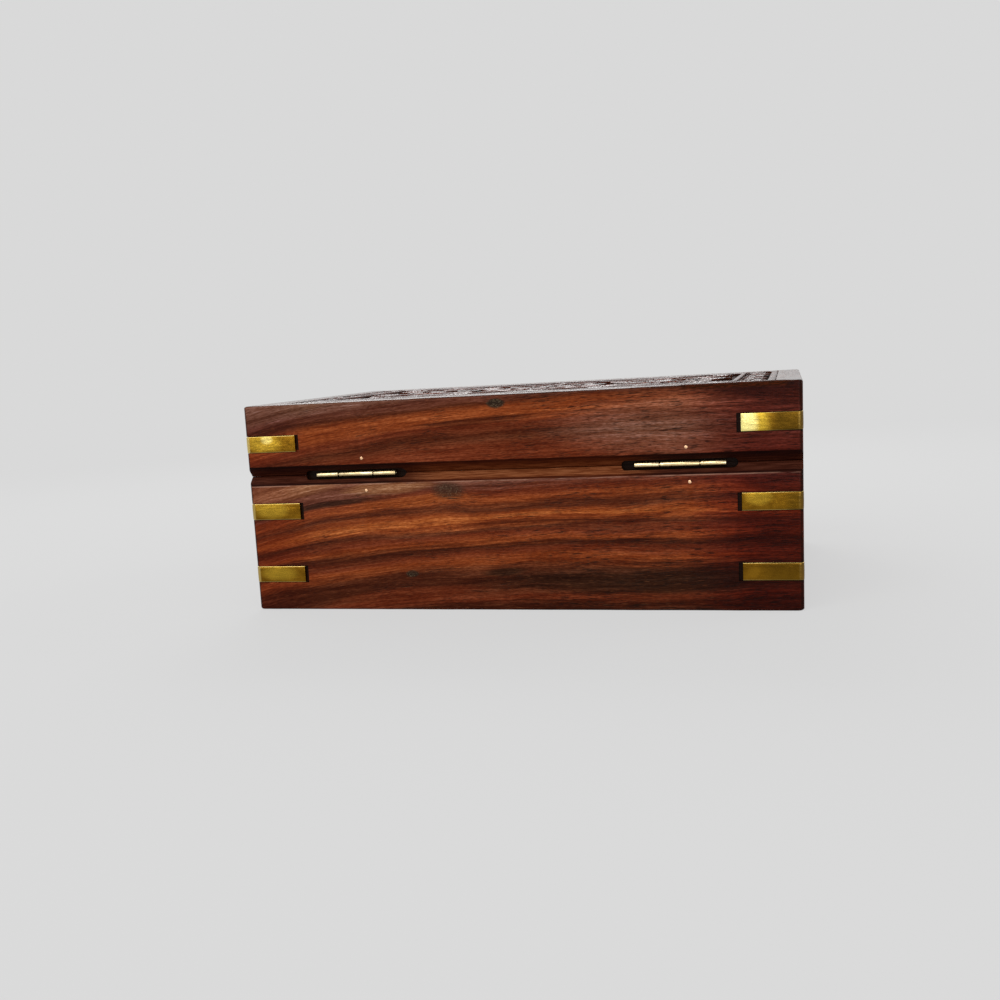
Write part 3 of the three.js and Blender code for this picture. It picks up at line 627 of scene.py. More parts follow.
# Patches: where their middle lies along and across the figure, their reach, colour and amount.
# Knots: where they lie along and up, their reach, amount and softness
BASE_REAR_PLAN = WoodPlan(
    0, BASE_REAR_BANDS, (0.0, 62 * MM), HALF_DEPTH, rise=13 * MM, fade=50 * MM,
    patches=(
        (*mm(-52, 11.6, 62, 5.4), BLACK_BROWN, 0.9),
        (*mm(3, 15.5, 9, 1.7), BLACK_BROWN, 0.9),
        (*mm(40, 9.5, 30, 2.4), RED, 0.7),
        (*mm(-100, 30, 20, 60), UMBER, 0.5),
        (*mm(84, 56, 26, 5), TAWNY, 0.75),
        (*mm(46, 50.5, 18, 3), TAWNY, 0.75),
        (*mm(35, 44, 26, 2.2), ORANGE, 0.5),
        (*mm(72, 46.3, 28, 1.4), BLACK_BROWN, 0.9),
    ),
    knots=((*mm(22.5, 44.6, 2.9), 0.75, 0.9), (*mm(38.2, 13.8, 1.2), 0.85, 0.6)),
    darker=REAR_DARKER)
LID_REAR_PLAN = WoodPlan(
    0, LID_REAR_BANDS, (LID_BOTTOM, TOP + 22 * MM), HALF_DEPTH, rise=12 * MM, fade=50 * MM, shift=3.0,
    patches=(
        # A painted sheen, greyish, towards the -X end of the lid's rear
        (*mm(-75, 66, 60, 12), SHEEN_GREY, 0.45),
        (*mm(-92, 76, 26, 6), BLACK_BROWN, 0.6),
        (*mm(65, 73.2, 36, 2.6), ORANGE_DEEP, 0.75),
        (*mm(90, 87, 26, 6), GREY_BROWN, 0.6),
        (*mm(10, 71, 26, 1.6), RED_DARK, 0.7),
        (*mm(5, 60, 30, 3), RED, 0.5),
    ),
    knots=((*mm(3.2, 75.2, 1.7), 0.95, 0.45),), bare=mm(-96, -64), darker=REAR_DARKER)
FRONT_PLAN = WoodPlan(0, FRONT_BANDS, mm(-8, 92), HALF_DEPTH, rise=8 * MM, fade=70 * MM)
END_PLAN = WoodPlan(1, END_BANDS, mm(-6, 92), HALF_WIDTH)
TOP_PLAN = WoodPlan(0, TOP_BANDS, mm(-70, 70))


def figure(s, plan, flat):
    """Where a point lies along the grain, across it and into the board."""
    axes = s.split(s.place())
    x, side, z = axes[plan.along], axes[1 - plan.along], axes[2]
    if flat:
        v, depth = side, z
    else:
        depth = s.minus(s.unsigned(side), plan.face)
        v = s.linear(depth, FIGURE_LEAN, z)
    if plan.rise:
        bend = s.math("EXPONENT", s.math("DIVIDE", s.minus(x, HALF_WIDTH), plan.fade))
        v = s.linear(bend, plan.rise, v)
    deep = s.sum(depth, plan.shift)
    v = s.swayed(v, s.streaks((x, v, deep), WANDER_GRAIN), WANDER)
    v = s.swayed(v, s.streaks((x, v, deep), RIPPLE_GRAIN), RIPPLE)
    for knot_x, knot_z, reach, *_ in plan.knots:
        off_z = s.minus(z, knot_z)
        near = s.nearness(s.minus(x, knot_x), off_z, reach * 2.4, reach)
        v = s.linear(s.math("DIVIDE", off_z, s.sum(near, 0.7)), 0.8, v)
    return x, v, z, deep


def banded(s, plan, x, v, broad, fine):
    """The bands of the figure and the patches that break them."""
    low, high = plan.span
    share = s.math("DIVIDE", s.minus(v, low), high - low)
    share = s.swayed(share, broad, 0.10)
    share = s.swayed(share, fine, 0.07)
    colour = s.ramp(share, plan.bands)
    for patch_x, patch_v, reach_x, reach_v, tint, amount in plan.patches:
        near = s.nearness(s.minus(x, patch_x), s.minus(v, patch_v), reach_x, reach_v)
        near = s.swayed(near, fine, 1.6)
        there = s.fall(near, 0.15, 1.3)
        colour = s.mix(s.product(there, amount), colour, tint)
    return colour


def pores(s, x, v, deep):
    """Open pores, short and long, and thin cracks, crowded in places."""
    crowd = s.linear(x, CROWD_SLANT, s.streaks((x, v, deep), CROWD_GRAIN))
    total = 0.0
    for grain, slant, detail, roughness, opening, crowding, amount in PORE_KINDS:
        kind = s.streaks((x, s.linear(x, slant, v), deep), grain, detail, roughness)
        total = s.higher(total, s.product(s.step(kind, *opening), s.step(crowd, *crowding), amount))
    return total


def knotted(s, plan, colour, x, z, fine):
    """Knots, each speckled dark and pale."""
    speckle = s.noise(s.place(), 2600.0, 1.0)
    for knot_x, knot_z, reach, strength, edge in plan.knots:
        near = s.nearness(s.minus(x, knot_x), s.minus(z, knot_z), reach * 1.9, reach)
        near = s.swayed(near, fine, 0.8)
        there = s.product(s.fall(near, 1.0 - edge, 1.0 + edge), strength)
        colour = s.mix(there, colour, s.mix(s.step(speckle, 0.54, 0.66), KNOT, KNOT_SPECK))
    return colour


def deepening(s, tone):
    """A tone as a colour to multiply by: dark wood is redder and light wood greyer than the wood between."""
    return s.vector(*[s.math("POWER", tone, power) for power in TONE_POWERS])


def groove_painted_shade(s, colour):
    """Painted shade on the groove's flanks, a painted highlight on its worn lower lip and painted shade
    inside the hinge slots.
    """
    x, y, z = s.split(s.place())
    depth = s.minus(HALF_DEPTH, y)
    height = s.math("DIVIDE", s.minus(z, PARTING), GROOVE_HALF_HEIGHT)
    upper = s.product(height, GROOVE_HALF_HEIGHT / (GROOVE_HALF_HEIGHT + UPPER_LIP_RISE))
    height = s.lower(height, s.higher(upper, 0.0))
    off_flank = s.linear(depth, 1 / GROOVE_DEPTH, s.minus(s.unsigned(height), 1.0))
    on_flank = s.product(s.fall(off_flank, 0.04, 0.12), s.step(depth, *FLANK_DEPTHS))
    uneven = s.streaks((x, z, depth), GROOVE_SHADE_GRAIN, 3.0, 0.6)
    share = s.linear(height, 0.5, s.linear(uneven, 0.06, 0.47))
    shade = s.split(s.ramp(share, [(place, (level, level, level)) for place, level in GROOVE_SHADES]))[0]
    lines = s.streaks((x, height, depth), LINE_GRAIN, 3.0, 0.65)
    shade = s.product(shade, s.linear(s.step(lines, 0.35, 0.65), 0.8, 0.6))
    ends = s.step(s.unsigned(s.sum(x, -FLANK_MIDDLE_X)), *FLANK_ENDS)
    flank = s.mix(ends, FLANK_BRIGHT, FLANK_DULL)
    # Painted shade on the flanks, from the ramp of shades
    colour = s.mix(on_flank, colour, s.mix(1.0, flank, deepening(s, shade), "MULTIPLY"))
    # A painted highlight along the worn lower lip
    lip = s.fall(s.unsigned(s.sum(height, 1.05)), 0.02, 0.09)
    lip = s.product(lip, s.fall(depth, *LIP_DEPTHS), s.step(uneven, 0.35, 0.6), 0.7)
    colour = s.mix(lip, colour, LIP_HIGHLIGHT)
    # Painted shade inside the hinge slots, near black
    inside = s.product(s.step(off_flank, 0.05, 0.12), in_slots(s, x, z))
    inside = s.product(inside, s.fall(depth, *[SLOT_DEPTH + past for past in SLOT_FADE]))
    return s.mix(s.product(inside, 0.97), colour, HOLE), on_flank


def in_slots(s, x, z):
    """Whether a place is within the outline of a hinge slot."""
    total = 0.0
    for side in ("left", "right"):
        middle, half, _, axis_z = hinge_place(side)
        reach = half + (SLOT_REACH_LEFT + SLOT_REACH_RIGHT) / 2
        middle += (SLOT_REACH_RIGHT - SLOT_REACH_LEFT) / 2
        total = s.higher(total, s.math("COMPARE", x, middle, reach + SLOT_EDGE))
    return s.product(total, s.math("COMPARE", z, axis_z, SLOT_HALF_HEIGHT + SLOT_EDGE))


def pocketed(s, plan, colour):
    """Near-black strap pockets, and painted shade on the rounded mitred corners."""
    x, y, z = s.split(s.place())
    side = (x, y, z)[1 - plan.along]
    depth = s.minus(plan.face, s.unsigned(side))
    deep = s.product(s.step(depth, *POCKET_FADE), s.math("LESS_THAN", depth, STRAP_THICKNESS + POCKET_PAST))
    beside = 0.0
    for kind in STRAP_KINDS:
        low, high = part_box(f"{kind}_rear_left")
        middle, half = middle_and_half(low, high, 2)
        near = s.math("COMPARE", z, middle, half + POCKET_BESIDE)
        beside = s.higher(beside, near)
    # Painted shade on the rounded corners
    past_x = s.minus(s.unsigned(x), HALF_WIDTH - CORNER_RADIUS)
    past_y = s.minus(s.unsigned(y), HALF_DEPTH - CORNER_RADIUS)
    corner_shade = s.product(s.step(s.lower(past_x, past_y), *CORNER_SHADE), 0.6)
    return s.mix(s.higher(s.product(deep, beside, 0.95), corner_shade), colour, HOLE)


def toned(s, colour, fine, hair, broad, dash, band):
    """Light and dark streaks, from very fine to broad."""
    tone = s.product(
        s.linear(s.step(fine, 0.30, 0.70), *FINE_TONE), s.linear(hair, *HAIR_TONE),
        s.linear(broad, *BROAD_TONE), s.linear(dash, *DASH_TONE),
        s.linear(s.step(band, 0.34, 0.68), *BAND_TONE))
    return s.mix(1.0, colour, deepening(s, tone), "MULTIPLY")


def shaded_ends(s, plan, colour, x, fine):
    """The wood with painted shade towards some of its ends."""
    for dark_end, clear, least in plan.darker:
        kept = s.linear(s.step(s.linear(fine, DARKER_RAGGED, x), dark_end, clear), 1 - least, least)
        colour = s.mix(1.0, colour, s.vector(kept, s.product(kept, kept), s.product(kept, kept)), "MULTIPLY")
    return colour


def bared(s, plan, colour, x, z, fine, dash):
    """The dull strip along a top edge that has lost its finish, and where it is."""
    low, high = plan.bare
    ragged = s.linear(fine, BARE_RAGGED, s.sum(x, -BARE_RAGGED / 2))
    bare = s.product(s.step(ragged, low - BARE_FADES[0], low), s.fall(ragged, high, high + BARE_FADES[1]))
    bare = s.product(bare, s.step(z, *BARE_HEIGHTS))
    return s.mix(s.product(bare, 0.9), colour, s.mix(s.step(dash, 0.45, 0.6), BLACK_BROWN, UMBER)), bare


def hardwood(name, plan, flat=False, ground=None):
    """Figured, oiled hardwood: bands, streaks, open pores and knots. A sunk ground is coloured darker."""
    s = Finish(name)
    x, v, z, deep = figure(s, plan, flat)
    broad, fine, hair, dash, band = (s.streaks((x, v, deep), *kind) for kind in WOOD_STREAKS)
    colour = toned(s, banded(s, plan, x, v, broad, fine), fine, hair, broad, dash, band)
    open_pores = pores(s, x, v, deep)
    colour = s.mix(s.product(open_pores, PORE_SHARE), colour, PORE)
    # Pale specks, painted as sheen on the finish
    sheen_specks = s.streaks((x, v, s.sum(deep, 1.0)), SHEEN_SPECK_GRAIN, 1.0)
    colour = s.mix(s.product(s.step(sheen_specks, *SHEEN_SPECK_RISE), SHEEN_SPECK_SHARE), colour, SHEEN_SPECK)
    colour = knotted(s, plan, shaded_ends(s, plan, colour, x, fine), x, z, fine)
    upright = s.fall(z, *LIT_TOP)
    roughness = s.sum(s.product(open_pores, 0.2), s.product(fine, 0.10), s.product(upright, 0.16), 0.06)
    height = s.sum(s.product(fine, 0.8), s.product(hair, 0.5), s.product(open_pores, -1.6))
    height = s.product(height, s.linear(upright, 0.92, 0.08))
    if not flat:
        colour = s.mix(s.linear(upright, -0.4, 0.4), colour, TOP_SHADE)
    if plan.bare:
        colour, bare = bared(s, plan, colour, x, z, fine, dash)
    if not flat:
        colour, on_groove_flank = groove_painted_shade(s, pocketed(s, plan, colour))
        roughness = s.sum(roughness, s.product(on_groove_flank, 0.35))
    if plan.bare:
        roughness = s.sum(roughness, s.product(bare, 0.75))
    if ground:
        down = s.fall(z, *SUNK_GROUND)
        colour = s.mix(s.product(down, 0.92), colour, ground)
        punched = s.node("ShaderNodeTexVoronoi", {"Vector": s.place(), "Scale": 1150.0}).outputs["Distance"]
        height = s.sum(height, s.product(s.step(punched, 0.15, 0.55), down, 5.0))
        roughness = s.sum(roughness, s.product(down, 0.45), 0.04)
    return s.surface(colour, roughness, s.bump(height, 0.35, WOOD_BUMP), specular_ior_level=0.045)


def rims(s, x, y, z):
    """How near a place is to the long edges or to the bend of the strap that it lies on: the edges as worn
    brass and painted highlight, the bend as a painted highlight, stronger on the lid and towards +X.
    """
    total = 0.0
    for kind in STRAP_KINDS:
        for corner, (sign_x, sign_y) in CORNERS.items():
            low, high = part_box(f"{kind}_{corner}")
            middle, half = middle_and_half(low, high, 2)
            off = s.unsigned(s.minus(z, middle))
            rim = s.step(off, *[half - inset for inset in RIM_FADE])
            rim = s.product(rim, s.math("LESS_THAN", off, half + RIM_PAST))
            in_x = s.math("GREATER_THAN", s.product(x, sign_x), 0.0)
            in_y = s.math("GREATER_THAN", s.product(y, sign_y), 0.0)
            total = s.higher(total, s.product(rim, s.product(in_x, in_y), 0.6))
    round_x = s.step(s.unsigned(x), *[HALF_WIDTH - share * CORNER_RADIUS for share in BEND_SHARES_X])
    round_y = s.step(s.unsigned(y), *[HALF_DEPTH - share * CORNER_RADIUS for share in BEND_SHARES_Y])
    lid_share = s.linear(s.math("GREATER_THAN", z, PARTING), 0.35, 0.45)
    bend_highlight_side = s.linear(s.math("GREATER_THAN", x, 0.0), 0.8, 0.2)
    return s.higher(total, s.product(round_x, round_y, lid_share, bend_highlight_side))


def slot_shaded(s, colour, tarnish, y, z):
    """Hinge brass with painted shade: darker below the barrel and near black behind it in the slot."""
    _, _, axis_y, axis_z = hinge_place("left")
    under = s.fall(z, *[axis_z - below for below in SHADE_BELOW_AXIS])
    colour = s.mix(s.product(under, 0.75), colour, tarnish)
    inside = s.fall(y, axis_y - SHADE_BEHIND_AXIS[0], axis_y + SHADE_BEHIND_AXIS[1])
    off_axis = s.nearness(s.minus(y, axis_y), s.minus(z, axis_z), BARREL_RADIUS, BARREL_RADIUS)
    return s.mix(s.product(inside, s.step(off_axis, 1.02, 1.12)), colour, SLOT_SHADE)


def old_brass(name, colours, rough=0.16, reflection_patches=(), shaded_in_slot=False):
    """Brass tarnished at random. Where asked, it has painted highlights and browned patches, or painted shade
    below and behind a hinge barrel.
    """
    clean, worn, tarnish = colours
    s = Finish(name)
    place = s.place()
    parts = s.split(place)
    x, y, z = parts
    cloud = s.noise(place, 150.0, 3.0, 0.6)
    smear = s.streaks(parts, (90.0, 90.0, 420.0), 3.0, 0.6)
    spots = s.noise(place, 1100.0, 2.0)
    scratch = s.streaks(parts, (500.0, 500.0, 5200.0), 1.0)
    colour = s.mix(s.step(cloud, 0.35, 0.65), clean, worn)
    colour = s.mix(s.product(s.step(smear, 0.50, 0.78), 0.55), colour, tarnish)
    colour = s.mix(s.product(s.step(spots, 0.60, 0.76), 0.5), colour, tarnish)
    if reflection_patches:
        # Strap edges lightened as worn brass and as painted highlight, and the bends as painted highlight
        colour = s.mix(rims(s, x, y, z), colour, EDGE_WEAR_AND_HIGHLIGHT)
    # Painted highlights and darker patches that stand in for the straps' reflections
    for spot_x, spot_z, reach_x, reach_z, tint, amount in reflection_patches:
        near = s.nearness(s.minus(x, spot_x), s.minus(z, spot_z), reach_x, reach_z)
        near = s.swayed(near, cloud, 0.7)
        colour = s.mix(s.product(s.fall(near, 0.1, 1.3), amount), colour, tint)
    # Painted shade below the hinge barrel and behind it in the slot
    if shaded_in_slot:
        colour = slot_shaded(s, colour, tarnish, y, z)
    roughness = s.sum(
        s.product(cloud, 0.12), s.product(s.step(spots, 0.6, 0.75), 0.2), s.product(scratch, 0.06), rough)
    height = s.sum(s.product(scratch, 0.10), smear, s.product(cloud, 2.0))
    return s.surface(colour, roughness, s.bump(height, 0.3, BRASS_BUMP), metallic=1.0)


def velvet(name):
    """Short pile, pale where it is seen from the side and marked where it was brushed."""
    s = Finish(name)
    place = s.place()
    pile = s.noise(place, 2800.0, 2.0)
    brushed = s.noise(place, 55.0, 2.0)
    colour = s.mix(s.step(brushed, 0.3, 0.7), VELVET_DARK, VELVET_LIGHT)
    colour = s.mix(s.product(pile, 0.6), colour, VELVET_DEEP)
    return s.surface(
        colour, 0.9, s.bump(pile, 0.6, VELVET_BUMP), specular_ior_level=0.1,
        sheen_weight=0.9, sheen_roughness=0.35, sheen_tint=VELVET_SHEEN)


def link(name, data):
    thing = bpy.data.objects.new(name, data)
    bpy.context.collection.objects.link(thing)
    return thing


def drop(piece):
    """Removes a helper object and its mesh."""
    mesh = piece.data
    bpy.data.objects.remove(piece)
    bpy.data.meshes.remove(mesh)


def bake(piece):
    """Turns an object with modifiers into a plain mesh."""
    graph = bpy.context.evaluated_depsgraph_get()
    graph.update()
    old = piece.data
    piece.data = bpy.data.meshes.new_from_object(piece.evaluated_get(graph))
    piece.modifiers.clear()
    bpy.data.meshes.remove(old)
    return piece


def tidy(mesh):
    """Merges points that lie together and turns every face outward."""
    work = bmesh.new()
    work.from_mesh(mesh)
    bmesh.ops.remove_doubles(work, verts=work.verts, dist=MERGE_DISTANCE)
    bmesh.ops.recalc_face_normals(work, faces=work.faces)
    work.to_mesh(mesh)
    work.free()


def shape(name, points, faces):
    mesh = bpy.data.meshes.new(name)
    mesh.from_pydata([tuple(point) for point in points], [], faces)
    tidy(mesh)
    return link(name, mesh)


def loft(name, rings):
    """A closed solid through rings of as many points each."""
    count = len(rings[0])
    points = [point for ring in rings for point in ring]
    faces = []
    for level in range(len(rings) - 1):
        for i in range(count):
            a, b = level * count + i, level * count + (i + 1) % count
            faces.append((a, b, b + count, a + count))
    faces.append(tuple(reversed(range(count))))
    faces.append(tuple(range(len(points) - count, len(points))))
    return shape(name, points, faces)


def joined(name, pieces):
    """Several objects as one."""
    work = bmesh.new()
    for piece in pieces:
        work.from_mesh(piece.data)
        drop(piece)
    mesh = bpy.data.meshes.new(name)
    work.to_mesh(mesh)
    work.free()
    return link(name, mesh)


def cut(piece, *cutters):
    """Takes each cutter out of the piece."""
    for cutter in cutters:
        modifier = piece.modifiers.new("cut", "BOOLEAN")
        modifier.operation = "DIFFERENCE"
        modifier.solver = "MANIFOLD"
        modifier.object = cutter
        bake(piece)
        drop(cutter)
    return piece


def settle(piece, material, body, slot, *replaced, sharp=32.0):
    """Gives a piece its finish and its body, and hides the nodes that it stands for. The slot is not used."""
    mesh = piece.data
    mesh.materials.clear()
    mesh.materials.append(material)
    mesh.polygons.foreach_set("use_smooth", [True] * len(mesh.polygons))
    mesh.set_sharp_from_angle(angle=math.radians(sharp))
    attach(piece, body)
    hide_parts(*replaced)


def block(name, low, high):
    points = [(x, y, z) for x in (low[0], high[0]) for y in (low[1], high[1]) for z in (low[2], high[2])]
    faces = [(0, 1, 3, 2), (4, 6, 7, 5), (0, 4, 5, 1), (2, 3, 7, 6), (0, 2, 6, 4), (1, 5, 7, 3)]
    return shape(name, points, faces)


def rounded_box(name, low, high, radius, spacing, wobble=0.0):
    """A box with round edges, on a grid fine enough to take a slight unevenness."""
    lines = []
    for a, b in zip(low, high):
        inner = max(1, round((b - a - 2 * radius) / spacing))
        line = [a + share * radius for share in ROUND_SHARES]
        line += [a + radius + (b - a - 2 * radius) * i / inner for i in range(inner + 1)]
        lines.append(line + [b - share * radius for share in reversed(ROUND_SHARES)])
    points, faces = [], []
    for axis in range(3):
        across, up = [lines[i] for i in range(3) if i != axis]
        for end in (low[axis], high[axis]):
            start = len(points)
            for u in across:
                for v in up:
                    place = [u, v]
                    place.insert(axis, end)
                    points.append(place)
            for i in range(len(across) - 1):
                for j in range(len(up) - 1):
                    a = start + i * len(up) + j
                    faces.append((a, a + 1, a + len(up) + 1, a + len(up)))
    rounded = []
    for point in points:
        core = Vector(min(max(p, a + radius), b - radius) for p, a, b in zip(point, low, high))
        point = Vector(point)
        coarse, fine = (noise.noise(point * scale) for scale in CARD_FINENESS)
        uneven = wobble * (coarse + 0.5 * fine - 0.8)
        rounded.append(core + (point - core).normalized() * (radius + uneven))
    return shape(name, rounded, faces)


def circle_angles(count):
    return [2 * math.pi * i / count for i in range(count)]


def curved(start, corner, end, share):
    """A point of the curve that leaves the start and meets the end in the directions of the corner."""
    return start * (1 - share) ** 2 + corner * 2 * share * (1 - share) + end * share ** 2


def middle_and_half(low, high, axis):
    return (low[axis] + high[axis]) / 2, (high[axis] - low[axis]) / 2


def arc_points(before, corner, after, radius):
    """A rounded corner of a section: its points, how near each is to the middle, and the way in."""
    into = (before - corner).normalized()
    out = (after - corner).normalized()
    start, end = corner + into * radius, corner + out * radius
    points = [(start + into * radius, 0.0)]
    for i in range(ARC_STEPS + 1):
        points.append((curved(start, corner, end, i / ARC_STEPS), math.sin(math.pi * i / ARC_STEPS)))
    points.append((end + out * radius, 0.0))
    return points, (into + out).normalized()


def wear(place, seed):
    """How much an edge is worn at a place along it, mostly under 1."""
    amount = WEAR_MIDDLE
    for scale, layer, strength in WEAR_NOISES:
        amount += strength * noise.noise(Vector((place * scale, seed, layer)))
    return max(0.0, amount)


def section_points(corners):
    """A board's section, as points with the way in, how much each is worn, and its corner's number."""
    section = []
    for i, (d, z, radius, worn) in enumerate(corners):
        corner = Vector((d, z))
        if not radius:
            section.append((corner, Vector((0.0, -1.0)), 1.0, worn, i))
            continue
        before, after = (Vector(corners[k % len(corners)][:2]) for k in (i - 1, i + 1))
        points, inward = arc_points(before, corner, after, radius)
        section += [(point, inward, weight, worn, i) for point, weight in points]
    return section


def board_stations(along):
    """Places along a mitred board: round each corner, then along its run."""
    count = round(2 * along / STATION_SPACING)
    turn = [k / CORNER_STEPS for k in range(CORNER_STEPS)]
    run = [(2 * i / count - 1, 1.0) for i in range(count + 1)]
    return [(-1.0, share) for share in turn] + run + [(1.0, share) for share in reversed(turn)]


def station_place(where, share, d, end):
    """How far along the board a point is, and how far the corner's curve takes it in."""
    glue = GLUE_LINE / math.sqrt(2)
    if share == 1.0:
        return where * end, 0.0
    if d < BOARD / 3:
        angle = math.pi / 4 * (1 + share)
        place = where * (end + CORNER_RADIUS * math.cos(angle) - glue * (1 - share))
        return place, CORNER_RADIUS * (1 - math.sin(angle))
    return where * (end + (CORNER_RADIUS - glue) * (1 - share)), 0.0


def mitred_board(name, side, corners, nicks):
    """One mitred board. Corners are (depth in from the face, height, radius, worn) round its section."""
    section = section_points(corners)
    along_x = side in ("front", "rear")
    along, across = (HALF_WIDTH, HALF_DEPTH) if along_x else (HALF_DEPTH, HALF_WIDTH)
    sign = 1 if side in ("rear", "right") else -1
    seed = 3.0 * SIDES.index(side)
    rings = []
    for where, share in board_stations(along):
        ring = []
        for (d, z), inward, weight, worn, number in section:
            u, sunk = station_place(where, share, d, along - d - CORNER_RADIUS)
            amount = wear(u, seed + 17.0 * number) * worn * weight
            if z > TOP - 2 * TOP_ARRIS and d < TOP_MARGIN - 2 * RIM_ARRIS:
                for nick_u, nick_width, nick_depth in nicks:
                    deep = nick_depth * (1 - d / TOP_MARGIN) ** 2
                    amount += deep * weight * max(0.0, 1.0 - ((u - nick_u) / nick_width) ** 2)
            d, z = d + inward[0] * amount, z + inward[1] * amount
            v = sign * (across - d - sunk)
            ring.append((u, v, z) if along_x else (v, u, z))
        rings.append(ring)
    return loft(name, rings)


def base_section():
    rebate = BOTTOM_THICKNESS + PANEL_CLEARANCE
    return [
        (0.0, 0.0, BOTTOM_ARRIS, ARRIS_WEAR), (0.0, BASE_TOP, OUTER_RIM_ARRIS, OUTER_RIM_WEAR),
        (BOARD, BASE_TOP, RIM_ARRIS, RIM_WEAR), (BOARD, rebate, 0, 0), (BOARD - BOTTOM_REBATE, rebate, 0, 0),
        (BOARD - BOTTOM_REBATE, 0.0, RIM_ARRIS, 0),
    ]


def lid_section():
    rebate = PANEL_LOW[2] - PANEL_CLEARANCE
    return [
        (0.0, LID_BOTTOM, OUTER_RIM_ARRIS, OUTER_RIM_WEAR), (0.0, TOP, TOP_ARRIS, ARRIS_WEAR),
        (TOP_MARGIN / 3, TOP, 0, RIM_WEAR), (TOP_MARGIN * 2 / 3, TOP, 0, MARGIN_WEAR),
        (TOP_MARGIN, TOP, RIM_ARRIS, RIM_WEAR), (TOP_MARGIN, rebate, 0, 0), (BOARD, rebate, 0, 0),
        (BOARD, LID_BOTTOM, RIM_ARRIS, RIM_WEAR),
    ]


def groove_cutter(up):
    """One flank of the groove, with its worn edge."""
    mouth = PARTING - GROOVE_HALF_HEIGHT if up < 0 else PARTING + GROOVE_HALF_HEIGHT + UPPER_LIP_RISE
    root = BASE_TOP if up < 0 else LID_BOTTOM
    past = PARTING - up * OVERRUN
    face = HALF_DEPTH
    corner, start = Vector((face, mouth)), Vector((face, mouth + up * GROOVE_ARRIS))
    slope = (Vector((face - GROOVE_DEPTH, root)) - corner).normalized()
    end = corner + slope * GROOVE_ARRIS
    edge = [Vector((face + GROOVE_CLEARANCE, mouth + up * 1.6 * GROOVE_ARRIS))]
    edge += [curved(start, corner, end, i / ARC_STEPS) for i in range(ARC_STEPS + 1)]
    rings = []
    for i in range(GROOVE_STEPS + 1):
        x = (HALF_WIDTH + OVERRUN) * (2 * i / GROOVE_STEPS - 1)
        worn = GROOVE_WEAR * wear(x, 20.0 + up)
        ring = [(x, face + OVERRUN, past), (x, face + OVERRUN, mouth + up * 2 * GROOVE_ARRIS)]
        for k, (y, z) in enumerate(edge):
            weight = math.sin(math.pi * k / len(edge))
            ring.append((x, y - worn * weight, z + up * worn * weight))
        ring += [(x, face - GROOVE_DEPTH, root), (x, face - GROOVE_DEPTH, past)]
        rings.append(ring)
    return loft("groove", rings)


def hinge_place(side):
    """The middle and the half length of one hinge, and its axis."""
    low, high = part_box(f"hinge_{side}_pin")
    axis_y, axis_z = (middle_and_half(low, high, axis)[0] for axis in (1, 2))
    return *middle_and_half(low, high, 0), axis_y, axis_z


def slot_cutter(side):
    """A slot with round ends, milled from the rear."""
    middle, half, _, z = hinge_place(side)
    left = middle - half - SLOT_REACH_LEFT + SLOT_HALF_HEIGHT
    right = middle + half + SLOT_REACH_RIGHT - SLOT_HALF_HEIGHT
    outline = []
    for centre, start in ((right, -math.pi / 2), (left, math.pi / 2)):
        for i in range(SLOT_STEPS + 1):
            angle = start + math.pi * i / SLOT_STEPS
            outline.append((
                centre + SLOT_HALF_HEIGHT * math.cos(angle), z + SLOT_HALF_HEIGHT * math.sin(angle)))
    depths = (HALF_DEPTH - SLOT_DEPTH, HALF_DEPTH + OVERRUN)
    return loft("slot", [[(x, y, z) for x, z in outline] for y in depths])


def kerf_cutter(side, up):
    middle, half, axis_y, z = hinge_place(side)
    reach = half + KERF_CLEARANCE
    near = axis_y - BARREL_RADIUS - KERF_CLEARANCE
    z0, z1 = sorted((z, z + up * (LEAF_HEIGHT + KERF_CLEARANCE)))
    far = near + LEAF_THICKNESS + 2 * KERF_CLEARANCE
    return block("kerf", (middle - reach, near, z0), (middle + reach, far, z1))


def brad_cutter(side, half_name):
    low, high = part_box(f"hinge_{side}_{half_name}_brad")
    x, z = (middle_and_half(low, high, axis)[0] for axis in (0, 2))
    radius = BRAD_HEAD + BRAD_CLEARANCE
    ring = [(x + radius * math.cos(a), z + radius * math.sin(a)) for a in circle_angles(BRAD_HOLE_STEPS)]
    depths = (low[1] - BRAD_CLEARANCE, high[1] + OVERRUN)
    return loft("brad_hole", [[(x, y, z) for x, z in ring] for y in depths])


def strap_reach(node):
    """The strap's corner as signs, the length of each leg, and its lowest and highest points."""
    low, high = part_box(node)
    sign_x = 1 if high[0] > HALF_WIDTH else -1
    sign_y = 1 if high[1] > HALF_DEPTH else -1
    return sign_x, sign_y, high[0] - low[0] - STRAP_PROUD, low[2], high[2]


def strap_cutter(node, side):
    """The pocket of one strap in one board."""
    sign_x, sign_y, length, z0, z1 = strap_reach(node)
    end, depth = length + STRAP_END_GAP, STRAP_THICKNESS - STRAP_PROUD + GLUE_LINE
    in_x, in_y = (end, depth) if side in ("front", "rear") else (depth, end)
    x0, x1 = sorted((sign_x * (HALF_WIDTH - in_x), sign_x * (HALF_WIDTH + OVERRUN)))
    y0, y1 = sorted((sign_y * (HALF_DEPTH - in_y), sign_y * (HALF_DEPTH + OVERRUN)))
    return block("pocket", (x0, y0, z0 - STRAP_SIDE_GAP), (x1, y1, z1 + STRAP_SIDE_GAP))


